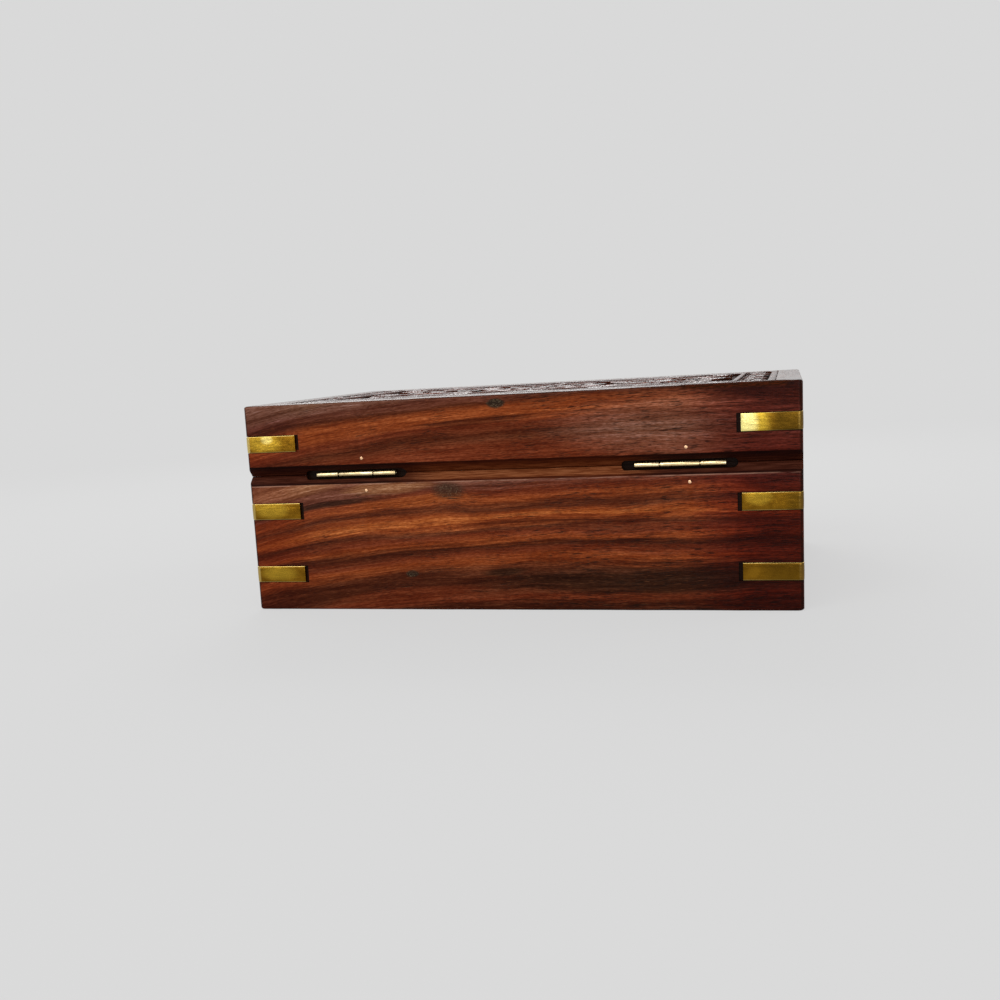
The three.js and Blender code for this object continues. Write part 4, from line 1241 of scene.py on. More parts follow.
def fitting_cutters(part, side):
    """All that is cut into one board for its straps and hinges."""
    straps = ("lid_strap",) if part == "lid" else ("base_upper_strap", "base_lower_strap")
    corners = [corner for corner in CORNERS if side in corner.split("_")]
    cutters = [strap_cutter(f"{strap}_{corner}", side) for strap in straps for corner in corners]
    if side != "rear":
        return cutters
    up, half_name = (1, "upper") if part == "lid" else (-1, "lower")
    for hinge in ("left", "right"):
        cutters += [slot_cutter(hinge), kerf_cutter(hinge, up), brad_cutter(hinge, half_name)]
    return cutters


def make_boards(woods):
    """The eight boards of the case."""
    for part, section in (("base", base_section()), ("lid", lid_section())):
        for side in SIDES:
            name = f"{part}_{side}_board"
            nicks = REAR_NICKS if name == "lid_rear_board" else ()
            board = mitred_board(f"{name}_wood", side, section, nicks)
            if side != "front":
                cut(board, groove_cutter(1 if part == "lid" else -1))
            cut(board, *fitting_cutters(part, side))
            settle(board, woods[part, side], part, "wood", name)


def strap_path(length):
    """The outer face of a strap at the corner where X and Y are positive.

    Each entry is the point, the way out, the point on the inner face, and the distance run.
    """
    radius = CORNER_RADIUS + STRAP_PROUD
    straight = length + STRAP_PROUD - radius
    runs = [STRAP_ROLL * share for share in STRAP_ROLL_SHARES]
    steps, turns = STRAP_RUN_STEPS, STRAP_TURN_STEPS
    runs += [STRAP_ROLL + (straight - STRAP_ROLL) * i / steps for i in range(1, steps + 1)]
    inner_x = HALF_WIDTH + STRAP_PROUD - STRAP_THICKNESS
    inner_y = HALF_DEPTH + STRAP_PROUD - STRAP_THICKNESS
    centre = Vector((HALF_WIDTH + STRAP_PROUD - radius, HALF_DEPTH + STRAP_PROUD - radius))
    path = []
    for s in runs:
        x = HALF_WIDTH - length + s
        path.append((Vector((x, HALF_DEPTH + STRAP_PROUD)), Vector((0.0, 1.0)), Vector((x, inner_y)), s))
    for i in range(1, turns):
        angle = math.pi / 2 * (1 - i / turns)
        out = Vector((math.cos(angle), math.sin(angle)))
        inner = centre + out * (radius - STRAP_THICKNESS)
        if 2 * i <= turns:
            inner[1] = inner_y
        if 2 * i >= turns:
            inner[0] = inner_x
        path.append((centre + out * radius, out, inner, straight + radius * math.pi / 2 * i / turns))
    total = 2 * straight + radius * math.pi / 2
    for s in reversed(runs):
        y = HALF_DEPTH - length + s
        outer = Vector((HALF_WIDTH + STRAP_PROUD, y))
        path.append((outer, Vector((1.0, 0.0)), Vector((inner_x, y)), total - s))
    return path, total


def rolled(distance):
    """How far a strap's face drops at a distance from its rim."""
    if distance >= STRAP_ROLL:
        return 0.0
    return STRAP_ROLL * (1 - math.sqrt(max(0.0, 1 - (1 - distance / STRAP_ROLL) ** 2)))


def strap(node, seed, creases=()):
    """A strap with rolled edges, slight dents and, where asked, a crease from which it leans."""
    sign_x, sign_y, length, z0, z1 = strap_reach(node)
    path, total = strap_path(length)
    height = z1 - z0
    edge = [STRAP_ROLL * share for share in STRAP_ROLL_SHARES]
    steps = STRAP_ROW_STEPS
    middle = [STRAP_ROLL + (height - 2 * STRAP_ROLL) * i / steps for i in range(1, steps)]
    rows = edge + middle + [height - h for h in reversed(edge)]
    rings = []
    for point, out, inner, s in path:
        end = min(s, total - s)
        lean = sum(max(0.0, at - s) * math.tan(tilt) for at, tilt in creases)
        ring = []
        for h in rows:
            across = 2 * h / height - 1
            spot = Vector((s * STRAP_DENT_FINENESS[0], h * STRAP_DENT_FINENESS[1], seed))
            dent = STRAP_DENT * noise.noise(spot) + STRAP_FINE_DENT * noise.noise(spot * 3.1)
            dent = STRAP_HOLLOW * across * across + dent * min(1.0, end / STRAP_DENT_FADE) + lean
            place = point - out * (rolled(min(end, h, height - h)) + dent)
            ring.append((sign_x * place[0], sign_y * place[1], z0 + h))
        for z in (z1 - STRAP_INNER_EASE, z0 + STRAP_INNER_EASE):
            ring.append((sign_x * inner[0], sign_y * inner[1], z))
        rings.append(ring)
    return loft(f"{node}_brass", rings)


def make_straps(brass):
    for i, kind in enumerate(STRAP_KINDS):
        for k, corner in enumerate(CORNERS):
            node = f"{kind}_{corner}"
            piece = strap(node, 3.7 * i + 11.3 * k, STRAP_CREASES.get(node, ()))
            settle(piece, brass, kind.split("_")[0], "brass", node)


def knuckle(middle_y, middle_z, x0, x1):
    """A tube along X with eased ends."""
    ease, inner = KNUCKLE_EASE, PIN_RADIUS + PIN_CLEARANCE
    half = [(ease, inner), (0.0, inner + ease), (0.0, BARREL_RADIUS - ease)]
    half += [(0.3 * ease, BARREL_RADIUS - 0.3 * ease), (ease, BARREL_RADIUS)]
    profile = [(x0 + x, radius) for x, radius in half] + [(x1 - x, radius) for x, radius in reversed(half)]
    steps = KNUCKLE_STEPS
    points = [(x, middle_y + radius * math.cos(a), middle_z + radius * math.sin(a))
              for x, radius in profile for a in circle_angles(steps)]
    faces = []
    for level in range(len(profile)):
        a, b = level * steps, (level + 1) % len(profile) * steps
        faces += [(a + i, a + (i + 1) % steps, b + (i + 1) % steps, b + i) for i in range(steps)]
    return shape("knuckle", points, faces)


def round_bar(name, profile, radius, centre, along, uneven=0.0):
    """A turned piece along X or Y: its profile holds places along it and shares of its radius."""
    rings = []
    for place, share in profile:
        ring = []
        for a in circle_angles(BAR_STEPS):
            reach = share * radius * (1 + uneven * math.sin(2 * a + centre[0] * 900))
            point = [centre[0] + reach * math.cos(a), centre[1] + reach * math.sin(a)]
            point.insert(along, place)
            ring.append(point)
        rings.append(ring)
    return loft(name, rings)


def make_brad(node, part, brass):
    """A round brad with a filed, slightly domed head."""
    low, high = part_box(node)
    centre = [middle_and_half(low, high, axis)[0] for axis in (0, 2)]
    profile = [(low[1], BRAD_POINT_SHARE), (low[1] + BRAD_POINT, 1.0)]
    profile += [(high[1] - inset, share) for inset, share in BRAD_DOME]
    brad = round_bar(f"{node}_brass", profile, BRAD_HEAD, centre, 1, BRAD_UNROUND_SHARE)
    settle(brad, brass, part, "brass", node)


def make_leaf(side, half_name, brass, brad_brass):
    """One hinge leaf with its knuckles."""
    middle, half, axis_y, axis_z = hinge_place(side)
    inner = half - END_KNUCKLE
    part, up, spans = "lid", 1, [(KNUCKLE_GAP - inner, inner - KNUCKLE_GAP)]
    if half_name == "lower":
        part, up, spans = "base", -1, [(-half, -inner), (inner, half)]
    front = axis_y - BARREL_RADIUS
    z0, z1 = sorted((axis_z + up * (BARREL_RADIUS + LEAF_GAP), axis_z + up * LEAF_HEIGHT))
    corners = (middle - half, front, z0), (middle + half, front + LEAF_THICKNESS, z1)
    pieces = [rounded_box("plate", *corners, PLATE_EDGE, PLATE_SPACING)]
    web0, web1 = sorted((axis_z, axis_z + up * (BARREL_RADIUS + 2 * LEAF_GAP)))
    for x0, x1 in spans:
        pieces.append(knuckle(axis_y, axis_z, middle + x0, middle + x1))
        far = front + WEB_SHARE * LEAF_THICKNESS
        pieces.append(block("web", (middle + x0, front, web0), (middle + x1, far, web1)))
    node = f"hinge_{side}_{half_name}_leaf"
    settle(joined(f"{node}_brass", pieces), brass, part, "brass", node)
    make_brad(f"hinge_{side}_{half_name}_brad", part, brad_brass)


def make_hinges(brass, brad_brass):
    for side in ("left", "right"):
        for half_name in ("upper", "lower"):
            make_leaf(side, half_name, brass, brad_brass)
        middle, half, axis_y, axis_z = hinge_place(side)
        ends = [(-half + inset, share) for inset, share in PIN_END]
        profile = ends + [(-x, share) for x, share in reversed(ends)]
        profile = [(middle + x, share) for x, share in profile]
        node = f"hinge_{side}_pin"
        pin = round_bar(f"{node}_brass", profile, PIN_RADIUS, (axis_y, axis_z), 0)
        settle(pin, brass, "base", "brass", node)


def leaf_pattern(name, veins, side_vein_depth):
    """One leaf of unit length and width: a V cut along its middle and V cuts to its sides.

    Its points hold where they lie along and across, how deep they are cut, and whether they are the foot
    of the wall round the leaf.
    """
    rows = [(0.0, False), (0.03, False)]
    for k in range(veins):
        start, width = 0.1 + 0.78 * k / veins, 0.78 / veins
        rows += [(start, True)] + [(start + width * share, False) for share in (0.2, 0.5, 0.8)]
    rows += [(0.88, veins > 0), (0.94, False), (1.0, False)]
    if not veins:
        rows += [(t / 10, False) for t in range(1, 9)]
        rows.sort()
    width = len(LEAF_COLUMNS)
    values, faces = [], []
    for t, vein in rows:
        body = math.sin(math.pi * t)
        for j, s in enumerate(LEAF_COLUMNS):
            reach = abs(s)
            cut_depth = LEAF_MIDDLE_CUT * max(0.0, 1 - reach / 0.1) * min(1.0, 3 * body)
            if vein and 0.05 < reach < 0.9:
                cut_depth = max(cut_depth, side_vein_depth * min(1.0, 2 * body) * (1 - reach ** 4))
            cut_depth += LEAF_EDGE_FALL * max(0.0, reach - 0.9) + LEAF_CROWN * reach ** 2 * body
            along = t - LEAF_POINTING_SHARE * (1 - reach) * t * (1 - t)
            values.append((along, s, 1.0 if j in (0, width - 1) else 0.0, cut_depth))
    for i in range(len(rows) - 1):
        a, b = i * width, (i + 1) * width
        faces += [(a + j, a + j + 1, b + j + 1, b + j) for j in range(width - 1)]
        faces.append((a + width - 1, a, b, b + width - 1))
    mesh = bpy.data.meshes.new(name)
    mesh.from_pydata([(along, across, -wall) for along, across, wall, _ in values], [], faces)
    for column, key in enumerate(("along", "across", "wall", "cut_depth")):
        layer = mesh.attributes.new(key, "FLOAT", "POINT")
        layer.data.foreach_set("value", [value[column] for value in values])
    return link(name, mesh)


class Growth(Recipe):
    """A geometry node tree that places copies of a pattern. Its inputs are set by name."""

    def __init__(self, name, inputs):
        super().__init__(bpy.data.node_groups.new(name, "GeometryNodeTree"))
        interface = self.tree.interface
        interface.new_socket("Geometry", in_out="INPUT", socket_type="NodeSocketGeometry")
        self.keys = {}
        for label, kind in inputs.items():
            socket = interface.new_socket(label, in_out="INPUT", socket_type="NodeSocket" + kind)
            self.keys[label] = socket.identifier
        interface.new_socket("Geometry", in_out="OUTPUT", socket_type="NodeSocketGeometry")
        self.inputs = self.tree.nodes.new("NodeGroupInput").outputs

    def attribute(self, name, kind="FLOAT"):
        return self.node("GeometryNodeInputNamedAttribute", {"Name": name}, data_type=kind).outputs[0]

    def copies(self):
        """The pattern on each of the points, as real geometry."""
        pattern = self.node("GeometryNodeObjectInfo", {0: self.inputs["pattern"]}).outputs["Geometry"]
        points = {"Points": self.inputs["Geometry"], "Instance": pattern}
        placed = self.node("GeometryNodeInstanceOnPoints", points).outputs[0]
        return self.node("GeometryNodeRealizeInstances", {0: placed}).outputs[0]

    def grow(self, geometry, piece, **values):
        """Ends the tree, runs it on a piece, and leaves the result as the piece's plain mesh."""
        finished = {"Geometry": geometry, "Material": self.inputs["finish"]}
        self.node("NodeGroupOutput", {0: self.node("GeometryNodeSetMaterial", finished).outputs[0]})
        modifier = piece.modifiers.new("growth", "NODES")
        modifier.node_group = self.tree
        for label, value in values.items():
            modifier[self.keys[label]] = value
        piece.update_tag()
        return bake(piece)


def grow_leaves(name, group, pattern, wood):
    """Puts a leaf at every point, then bends it to that point's own angle, length, width and bend."""
    kinds = {"pattern": "Object", "finish": "Material", "top": "Float", "depth": "Float", "belly": "Float"}
    g = Growth(name, kinds)
    leaves = g.copies()
    t, s = g.attribute("along"), g.attribute("across")
    angle, bend = g.attribute("angle"), g.attribute("bend")
    foot = g.split(g.attribute("foot", "FLOAT_VECTOR"))
    heading = g.linear(bend, t, angle)
    chord = g.linear(bend, g.product(t, 0.5), angle)
    swell = g.math("SINE", g.product(g.math("POWER", t, g.inputs["belly"]), math.pi))
    off = g.product(s, g.attribute("width"), 0.5, swell)
    reach = g.product(g.attribute("length"), t)
    aside = g.product(off, -1.0, g.math("SINE", heading))
    x = g.sum(foot[0], g.product(reach, g.math("COSINE", chord)), aside)
    y = g.sum(foot[1], g.product(reach, g.math("SINE", chord)), g.product(off, g.math("COSINE", heading)))
    wall = g.product(g.attribute("wall"), g.inputs["depth"])
    sunk = g.sum(wall, g.attribute("cut_depth"), g.attribute("drop"))
    place = g.vector(x, y, g.minus(g.inputs["top"], sunk))
    moved = g.node("GeometryNodeSetPosition", {"Geometry": leaves, "Position": place}).outputs[0]
    sizes = {"top": TOP, "depth": CARVING_DEPTH + ROOT, "belly": LEAF_BELLY_SHARE}
    piece = g.grow(moved, leaf_points(name, group), pattern=pattern, finish=wood, **sizes)
    drop(pattern)
    return piece


def leaf(x, y, angle, size, bend, lower):
    return {"foot": (x, y), "angle": angle, "length": size[0], "width": size[1], "bend": bend, "drop": lower}


def alternate(drops, i, kinds=2):
    """How far the leaf of a number lies below the top, where the kinds take turns."""
    return drops[0] + drops[1] * (i % kinds)


def petal_ring(x, y, foot, count, size):
    """Petals all round a middle, every other one a little lower."""
    petals = []
    for i, angle in enumerate(circle_angles(count)):
        px, py = x + foot * math.cos(angle), y + foot * math.sin(angle)
        petals.append(leaf(px, py, angle, size, 0.0, alternate(PETAL_DROP, i)))
    return petals


def fan(x, y, angle, size, spreads):
    """Leaves spread about an angle, the middle one longest and highest."""
    leaves = []
    for i, spread in enumerate(spreads):
        length = size[0] * (1 - abs(spread) / math.pi)
        lower = FAN_DROP + FAN_DROP_BY_SPREAD * abs(spread) + FAN_DROP_BY_NUMBER * i
        leaves.append(leaf(x, y, angle + spread, (length, size[1]), spread * FAN_CURL_SHARE, lower))
    return leaves


def spiral_point(share):
    angle = SCROLL_START - share * SCROLL_TURNS * 2 * math.pi
    radius = SCROLL_RADIUS + (SCROLL_EYE - SCROLL_RADIUS) * share ** SCROLL_TIGHTEN_SHARE
    return SCROLL_X + radius * math.cos(angle), SCROLL_Y + radius * math.sin(angle), angle


def tail_point(share):
    x1, y1, _ = spiral_point(0.0)
    middle_x = x1 - TAIL_REACH * math.sin(SCROLL_START)
    middle_y = y1 + TAIL_REACH * math.cos(SCROLL_START)
    a, b, c = (1 - share) ** 2, 2 * share * (1 - share), share ** 2
    return a * TAIL_FOOT_X + b * middle_x + c * x1, a * FAN_FOOT_Y + b * middle_y + c * y1


def scroll():
    """One scroll's stem, its large leaves and its small ones, where both X and Y are positive."""
    stem = [tail_point(i / TAIL_STEPS) for i in range(TAIL_STEPS)]
    stem += [spiral_point(i / SCROLL_STEPS)[:2] for i in range(SCROLL_STEPS + 1)]
    large, small = [], []
    for i in range(SCROLL_LEAVES):
        x, y, angle = spiral_point(SCROLL_LEAF_SPAN_SHARE * (i + 1 / 2) / SCROLL_LEAVES)
        heading = angle - math.pi / 2 + SCROLL_LEAF_SPLAY
        large.append(leaf(x, y, heading, SCROLL_LEAF, -SCROLL_LEAF_SPLAY, alternate(SCROLL_LEAF_DROP, i)))
    x, y = tail_point(TAIL_LEAF_SHARE)
    size = (TAIL_LEAF_LENGTH, SCROLL_LEAF[1])
    large.append(leaf(x, y, SCROLL_LEAF_SPLAY, size, -SCROLL_LEAF_SPLAY / 2, SCROLL_LEAF_DROP[0]))
    foot = FLOWER_EYE + PETAL_GAP / 2
    size = (FLOWER_RADIUS - foot, FLOWER_PETAL_WIDTH)
    small += petal_ring(SCROLL_X, SCROLL_Y, foot, FLOWER_PETALS, size)
    size = (CORNER_FAN_LENGTH, CORNER_LEAF[1])
    small += fan(CORNER_FAN_X, CORNER_FAN_Y, math.pi / 4, size, (-FAN_SPREAD, 0.0, FAN_SPREAD))
    return stem, large, small


def mirrored(one, sx, sy):
    """A leaf on the other side of the middle."""
    x, y = one["foot"]
    angle, bend = one["angle"], one["bend"]
    if sx < 0:
        angle, bend = math.pi - angle, -bend
    if sy < 0:
        angle, bend = -angle, -bend
    return {**one, "foot": (sx * x, sy * y), "angle": angle, "bend": bend}


def turned(u, v, angle, reach):
    """A point of the border's first side, moved to the side at an angle."""
    c, s = math.cos(angle), math.sin(angle)
    return c * u - s * (v + reach), s * u + c * (v + reach)


def vine(run):
    """A waving stem along one side of the border, with a leaf in each hollow."""
    hollows = max(2, round(run / VINE_PITCH))
    pitch = run / hollows
    stem = [(i * pitch / VINE_STEPS - run / 2, VINE_WAVE * math.sin(i * math.pi / VINE_STEPS))
            for i in range(hollows * VINE_STEPS + 1)]
    leaves = []
    for i in range(hollows):
        splay = VINE_LEAF_SPLAY if i % 2 else -VINE_LEAF_SPLAY
        drop_in = alternate(VINE_LEAF_DROP, i, 3)
        leaves.append(leaf(i * pitch - run / 2, 0.0, splay, VINE_LEAF, -splay, drop_in))
    return stem, leaves


def foliage():
    """Every stem, and the large leaves, the small leaves and the petals."""
    stems, large, small = [], [], []
    petals = petal_ring(0.0, 0.0, BOSS_RADIUS + PETAL_GAP, INNER_PETALS, INNER_PETAL)
    petals += petal_ring(0.0, 0.0, RING_OUTER + PETAL_GAP, OUTER_PETALS, OUTER_PETAL)
    five = [-2 * FAN_SPREAD, -FAN_SPREAD, 0.0, FAN_SPREAD, 2 * FAN_SPREAD]
    side_fan = fan(0.0, FAN_FOOT_Y, math.pi / 2, FAN_LEAF, five)
    end_fan = fan(END_FAN_X, 0.0, 0.0, END_FAN_LEAF, five[1:4])
    large += side_fan + [mirrored(one, 1, -1) for one in side_fan]
    large += end_fan + [mirrored(one, -1, 1) for one in end_fan]
    reach_x = PANEL_HALF_WIDTH - OUTER_FILLET - BORDER_BAND / 2
    reach_y = PANEL_HALF_DEPTH - OUTER_FILLET - BORDER_BAND / 2
    foot = BORDER_BAND / 2 - FAN_GAP / 2
    corner_fan = fan(reach_x - foot, reach_y - foot, math.pi / 4, CORNER_LEAF, five[1:4])
    stem, quarter_large, quarter_small = scroll()
    for sx, sy in CORNERS.values():
        stems.append([(sx * x, sy * y) for x, y in stem])
        large += [mirrored(one, sx, sy) for one in quarter_large]
        small += [mirrored(one, sx, sy) for one in quarter_small + corner_fan]
    for run, reach, angles in (
            (2 * reach_x - BORDER_BAND, reach_y, (0.0, math.pi)),
            (2 * reach_y - BORDER_BAND, reach_x, (math.pi / 2, -math.pi / 2))):
        line, leaves = vine(run)
        for angle in angles:
            stems.append([turned(u, v, angle, reach) for u, v in line])
            small += [{**one, "foot": turned(*one["foot"], angle, reach), "angle": one["angle"] + angle}
                      for one in leaves]
    return stems, large, small, petals


def leaf_points(name, leaves):
    """One point for each leaf, with the leaf's values on it."""
    mesh = bpy.data.meshes.new(name)
    mesh.from_pydata([(*one["foot"], 0.0) for one in leaves], [], [])
    foot = mesh.attributes.new("foot", "FLOAT_VECTOR", "POINT")
    foot.data.foreach_set("vector", [value for one in leaves for value in (*one["foot"], 0.0)])
    for key in ("angle", "length", "width", "bend", "drop"):
        layer = mesh.attributes.new(key, "FLOAT", "POINT")
        layer.data.foreach_set("value", [one[key] for one in leaves])
    return link(name, mesh)


def stem(line):
    """A stem with a flat top, eased edges and a line cut along its middle."""
    section = [(-across, z) for across, z in STEM_SECTION] + [(0.0, -STEM_CUT)] + list(reversed(STEM_SECTION))
    rings = []
    for i, (x, y) in enumerate(line):
        x0, y0 = line[max(0, i - 1)]
        x1, y1 = line[min(len(line) - 1, i + 1)]
        ahead = Vector((x1 - x0, y1 - y0)).normalized()
        rings.append([(x - ahead[1] * across, y + ahead[0] * across, TOP + z) for across, z in section])
    return loft("stem", rings)


def button(x, y, radius, dimples):
    """A boss with a rim, a hollow and, where asked, a ring of dimples."""
    rings = []
    for share, z in BUTTON_PROFILE:
        ring = []
        for a in circle_angles(BUTTON_STEPS):
            hollow = BUTTON_DIMPLE * max(0.0, math.cos(dimples * a)) if dimples and 0.4 < share < 0.7 else 0.0
            u, v = share * radius * math.cos(a), share * radius * math.sin(a)
            ring.append((x + u, y + v, TOP + z - hollow))
        rings.append(ring)
    return loft("button", rings)


def bead_ring(wood):
    """The ring of beads round the inner petals."""
    middle, radius = RING_OUTER - RING_WIDTH / 2, RING_WIDTH / 2
    count = round(2 * math.pi * middle / (BEAD_SPACING_SHARE * RING_WIDTH))
    mesh = bpy.data.meshes.new("bead_places")
    places = [(middle * math.cos(a), middle * math.sin(a), TOP - radius) for a in circle_angles(count)]
    mesh.from_pydata(places, [], [])
    bead = loft("bead", [[(share * radius * math.cos(a), share * radius * math.sin(a), z * radius)
                          for a in circle_angles(BEAD_STEPS)] for share, z in BEAD_PROFILE])
    g = Growth("beads", {"pattern": "Object", "finish": "Material"})
    ring = g.grow(g.copies(), link("bead_ring", mesh), pattern=bead, finish=wood)
    drop(bead)
    return ring


def rectangle_ring(half_x, half_y, corner, steps_x, steps_y, turn):
    """Points round a rectangle with rounded corners."""
    points = []
    for (sx, sy), start in (((1, -1), -0.5), ((1, 1), 0.0), ((-1, 1), 0.5), ((-1, -1), 1.0)):
        for i in range(turn + 1):
            angle = math.pi * (start + i / turn / 2)
            points.append((sx * (half_x - corner) + corner * math.cos(angle),
                           sy * (half_y - corner) + corner * math.sin(angle)))
        x, y = points[-1]
        run_x = -sx * 2 * (half_x - corner) if sx == sy else 0.0
        run_y = -sy * 2 * (half_y - corner) if sx != sy else 0.0
        steps = steps_x if run_x else steps_y
        points += [(x + run_x * i / steps, y + run_y * i / steps) for i in range(1, steps)]
    return points


def tray_ring(inset, corner, z, uneven):
    """A ring of the carved panel, at an inset from its edge."""
    half_x, half_y = PANEL_HALF_WIDTH - inset, PANEL_HALF_DEPTH - inset
    ring = []
    for x, y in rectangle_ring(half_x, half_y, min(corner, 0.9 * half_y), *PANEL_STEPS):
        coarse, fine = (noise.noise(Vector((x * scale, y * scale, 4.0))) for scale in GROUND_FINENESS)
        rough = coarse + 0.6 * fine
        ring.append((x, y, z + uneven * rough))
    return ring


def pocket_wall(inset):
    """Rings down a wall of the ground, from the fillet to the floor."""
    wall = (
        (-FILLET_EASE, TOP), (0.0, TOP - WALL_TOP_DROP), (WALL_LEAN, FLOOR + WALL_FOOT_RISE),
        (WALL_FOOT, FLOOR))
    return [(inset + past, POCKET_CORNER, z, 0.0) for past, z in wall]


def carved_slab():
    """The panel with its ground cut down: a border and a field between plain fillets."""
    bevel, uneven = PANEL_BEVEL, GROUND_UNEVENNESS
    levels = [(0.0, bevel, PANEL_LOW[2], 0.0), (0.0, bevel, TOP - bevel, 0.0)]
    for i in range(1, BEVEL_STEPS + 1):
        angle = math.pi / 2 * i / BEVEL_STEPS
        levels.append((bevel * (1 - math.cos(angle)), bevel, TOP - bevel * (1 - math.sin(angle)), 0.0))
    levels += [(bevel + 2 * FILLET_EASE, POCKET_CORNER, TOP, 0.0)] + pocket_wall(OUTER_FILLET)
    foot, band = OUTER_FILLET + WALL_FOOT, BORDER_BAND - 2 * WALL_FOOT
    levels += [(foot + band * i / BORDER_STEPS, POCKET_CORNER, FLOOR, uneven) for i in range(1, BORDER_STEPS)]
    inner = OUTER_FILLET + BORDER_BAND
    levels += [(2 * inner - inset, *rest) for inset, *rest in reversed(pocket_wall(inner))]
    field = inner + INNER_FILLET
    levels += pocket_wall(field)
    foot, reach = field + WALL_FOOT, PANEL_HALF_DEPTH - field - FIELD_MIDDLE
    levels += [(foot + reach * i / FIELD_STEPS, POCKET_CORNER, FLOOR, uneven)
               for i in range(1, FIELD_STEPS + 1)]
    return loft("lid_carved_panel_slab", [tray_ring(*level) for level in levels])


def make_carved_panel(wood):
    """The panel in two pieces: the slab with its sunk ground, and all that stands up from it."""
    settle(carved_slab(), wood, "lid", "carved_wood", "lid_carved_panel")
    stems, large, small, petals = foliage()
    parts = [
        grow_leaves("large_leaves", large, leaf_pattern("large_leaf", *LARGE_LEAF_CUTS), wood),
        grow_leaves("small_leaves", small, leaf_pattern("small_leaf", *SMALL_LEAF_CUTS), wood),
        grow_leaves("petals", petals, leaf_pattern("petal", *PETAL_CUTS), wood),
        bead_ring(wood), button(0.0, 0.0, BOSS_RADIUS, 8)]
    parts += [stem(line) for line in stems]
    parts += [button(sx * SCROLL_X, sy * SCROLL_Y, FLOWER_EYE, 0) for sx, sy in CORNERS.values()]
    carving = joined("lid_carving", parts)
    tidy(carving.data)
    settle(carving, wood, "lid", "carved_wood", "lid_carved_panel")


def make_bottom(wood):
    low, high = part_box("base_bottom_panel")
    panel = rounded_box("base_bottom_panel_wood", low, high, BOTTOM_PANEL_EDGE, BOTTOM_PANEL_SPACING)
    settle(panel, wood, "base", "panel_wood", "base_bottom_panel")


def make_cards(cloth):
    """Velvet-covered cards on the eight inner walls."""
    for part in ("base", "lid"):
        for side in SIDES:
            node = f"{part}_{side}_lining"
            low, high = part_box(node)
            card = rounded_box(f"{node}_velvet", low, high, CARD_EDGE, CARD_SPACING, CARD_UNEVENNESS)
            settle(card, cloth, part, "velvet", node)


def pad(node, up):
    """A thin pad that crowns from its drawn-in edge, with soft unevenness on its face."""
    low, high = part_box(node)
    foot, crown = (low[2], high[2]) if up > 0 else (high[2], low[2])
    levels = list(PAD_RIM)
    for i in range(PAD_RINGS + 1):
        inset = PAD_EDGE + (high[1] - 1.5 * PAD_EDGE) * (i / PAD_RINGS) ** PAD_RING_POWER
        edge, rise = PAD_CROWN_SHARES
        levels.append((inset, edge + rise * math.sin(math.pi / 2 * min(1.0, 2 * i / PAD_RINGS))))
    rings = []
    for inset, share in levels:
        ring = []
        half_x, half_y = high[0] - inset, high[1] - inset
        for x, y in rectangle_ring(half_x, half_y, min(PAD_CORNER, 0.9 * half_y), *PAD_STEPS):
            soft = noise.noise(Vector((x * 28, y * 28, up * 3.0)))
            soft += 0.4 * noise.noise(Vector((x * 90, y * 90, 2.0)))
            pucker = 0.0
            if share > PUCKER_FROM_SHARE:
                pucker = PUCKER_SHARE * math.sin((x + y) * 900) * max(0.0, 1 - inset / PUCKER_REACH)
            rise = share + (PAD_SOFT_SHARE * soft + pucker) * min(1.0, share / PAD_RIM[-1][1])
            ring.append((x, y, foot + (crown - foot) * min(1.0, rise)))
        rings.append(ring)
    return loft(f"{node}_velvet", rings)


def make_pads(cloth):
    for node, body, up in (("base_floor_pad", "base", 1), ("lid_ceiling_pad", "lid", -1)):
        piece = pad(node, up)
        settle(piece, cloth, body, "velvet", node, sharp=60.0)


def make_camera():
    data = bpy.data.cameras.new("camera")
    camera = link("camera", data)
    level, rise = math.cos(CAMERA_ELEVATION), math.sin(CAMERA_ELEVATION)
    back = Vector((math.sin(CAMERA_AZIMUTH) * level, -math.cos(CAMERA_AZIMUTH) * level, rise))
    turn = (-back).to_track_quat("-Z", "Y").to_matrix().to_4x4() @ Matrix.Rotation(CAMERA_ROLL, 4, "Z")
    camera.matrix_world = Matrix.Translation(CAMERA_PLACE) @ turn
    data.lens = CAMERA_LENS
    data.shift_x, data.shift_y = CAMERA_SHIFT
    data.clip_start, data.clip_end = CAMERA_RANGE
    bpy.context.scene.camera = camera


def softbox(name, place, size, radiance):
    """A rectangular lamp towards the box. Its power follows from its size and from how bright it looks."""
    data = bpy.data.lights.new(name, "AREA")
    data.shape = "RECTANGLE"
    data.size, data.size_y = size
    data.energy = radiance * size[0] * size[1] * math.pi
    light = link(name, data)
    light.location = place
    light.rotation_euler = (LAMP_AIM - Vector(place)).to_track_quat("-Z", "Y").to_euler()


def make_lights():
    for name, (place, size, radiance) in LAMPS.items():
        softbox(name, place, size, radiance)


def grey(level):
    return level, level, level, 1.0


def seen_directly(s):
    """Whether a ray comes from the camera or from a mirror-like or clear surface."""
    path = s.node("ShaderNodeLightPath", {}).outputs
    mirror = s.higher(path["Is Glossy Ray"], path["Is Transmission Ray"])
    return s.higher(path["Is Camera Ray"], mirror)


def make_world():
    world = bpy.data.worlds.new("studio")
    bpy.context.scene.world = world
    world.use_nodes = True
    s = Recipe(world.node_tree)
    seen = s.node("ShaderNodeBackground", {"Color": grey(PALE)})
    lit = s.node("ShaderNodeBackground", {"Color": grey(1.0), "Strength": WORLD_STRENGTH})
    mix = s.node("ShaderNodeMixShader", {0: seen_directly(s), 1: lit.outputs[0], 2: seen.outputs[0]})
    s.node("ShaderNodeOutputWorld", {"Surface": mix.outputs[0]})


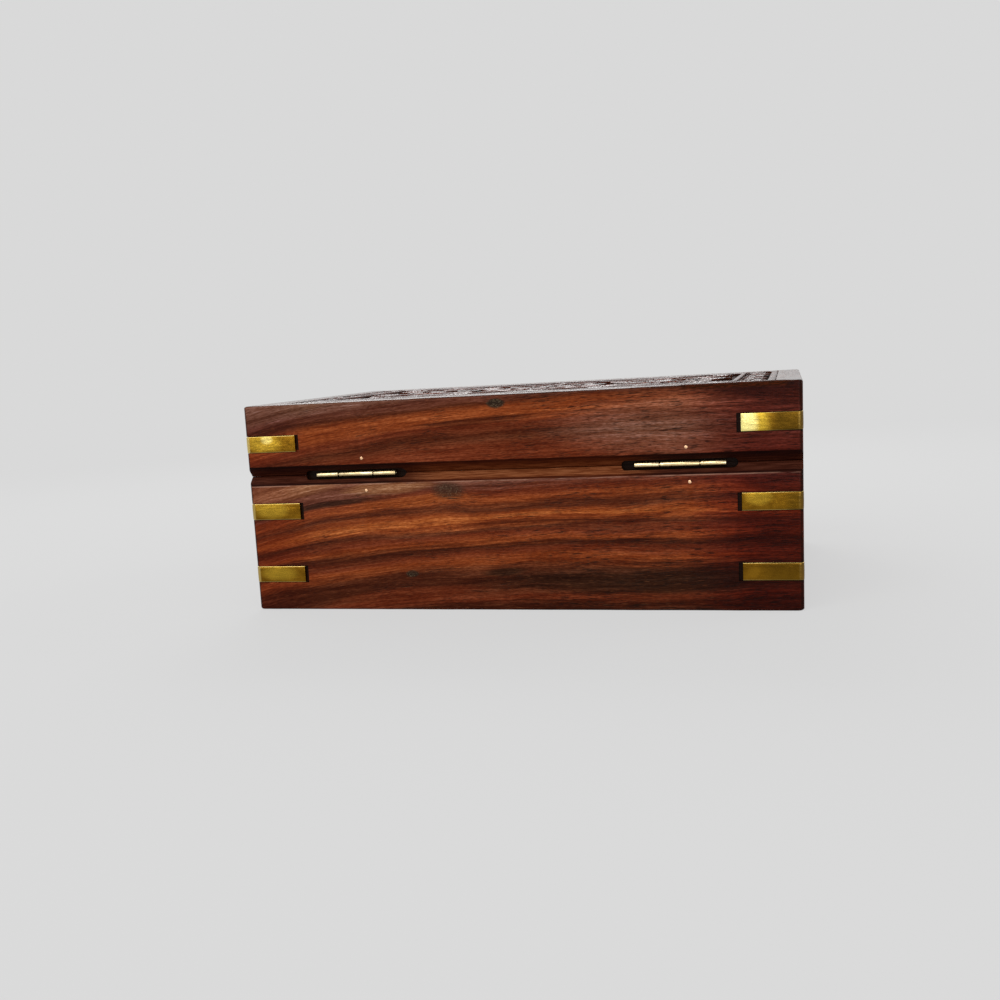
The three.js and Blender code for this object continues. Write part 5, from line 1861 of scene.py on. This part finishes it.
def make_floor():
    """A pale floor that fades into the pale backdrop and keeps the box's shadow."""
    mesh = bpy.data.meshes.new("floor")
    corners = [(x * FLOOR_REACH, y * FLOOR_REACH, 0) for x, y in ((-1, -1), (1, -1), (1, 1), (-1, 1))]
    mesh.from_pydata(corners, [], [(0, 1, 2, 3)])
    floor = link("floor", mesh)
    s = Finish("pale_floor")
    distance = s.node("ShaderNodeVectorMath", {0: s.place()}, operation="LENGTH").outputs["Value"]
    near = s.product(s.fall(distance, *FLOOR_NEAR), FLOOR_SHADE_SHARE)
    plain = s.node("ShaderNodeBsdfDiffuse", {"Color": grey(FLOOR_BOUNCE)})
    shaded = s.node("ShaderNodeBsdfDiffuse", {"Color": grey(FLOOR_SHADED)})
    even = s.node("ShaderNodeEmission", {"Color": grey(PALE)})
    seen = s.node("ShaderNodeMixShader", {0: near, 1: even.outputs[0], 2: shaded.outputs[0]})
    both = s.node("ShaderNodeMixShader", {0: seen_directly(s), 1: plain.outputs[0], 2: seen.outputs[0]})
    s.node("ShaderNodeOutputMaterial", {"Surface": both.outputs[0]})
    mesh.materials.append(s.material)


def make_woods():
    """A finish for each board, so that the figure runs its own way in each."""
    woods = {
        ("base", "rear"): hardwood("rosewood_base_rear", BASE_REAR_PLAN),
        ("lid", "rear"): hardwood("rosewood_lid_rear", LID_REAR_PLAN),
    }
    for part, shift in (("base", 5.0), ("lid", 5.4)):
        plan = replace(FRONT_PLAN, shift=shift)
        woods[part, "front"] = hardwood(f"rosewood_{part}_front", plan)
    for side, shift, darker in (("left", 9.0, LEFT_END_DARKER), ("right", 12.0, RIGHT_END_DARKER)):
        wood = hardwood(f"rosewood_{side}_end", replace(END_PLAN, shift=shift, darker=darker))
        woods["base", side], woods["lid", side] = wood, wood
    return woods


make_camera()
make_lights()
make_world()
make_floor()

carved_rosewood = hardwood("rosewood_carved_top", replace(TOP_PLAN, shift=17.0), flat=True, ground=GROUND)
bottom_rosewood = hardwood("rosewood_bottom", replace(TOP_PLAN, shift=21.0), flat=True)
strap_brass = old_brass("strap_brass", STRAP_BRASS, reflection_patches=STRAP_REFLECTION_PATCHES)
hinge_brass = old_brass("hinge_brass", HINGE_BRASS, rough=0.2, shaded_in_slot=True)
brad_brass = old_brass("brad_brass", BRAD_BRASS, rough=0.3)
red_velvet = velvet("red_velvet")

make_boards(make_woods())
make_carved_panel(carved_rosewood)
make_bottom(bottom_rosewood)
make_straps(strap_brass)
make_hinges(hinge_brass, brad_brass)
make_cards(red_velvet)
make_pads(red_velvet)

bpy.context.scene.view_settings.view_transform = "Standard"
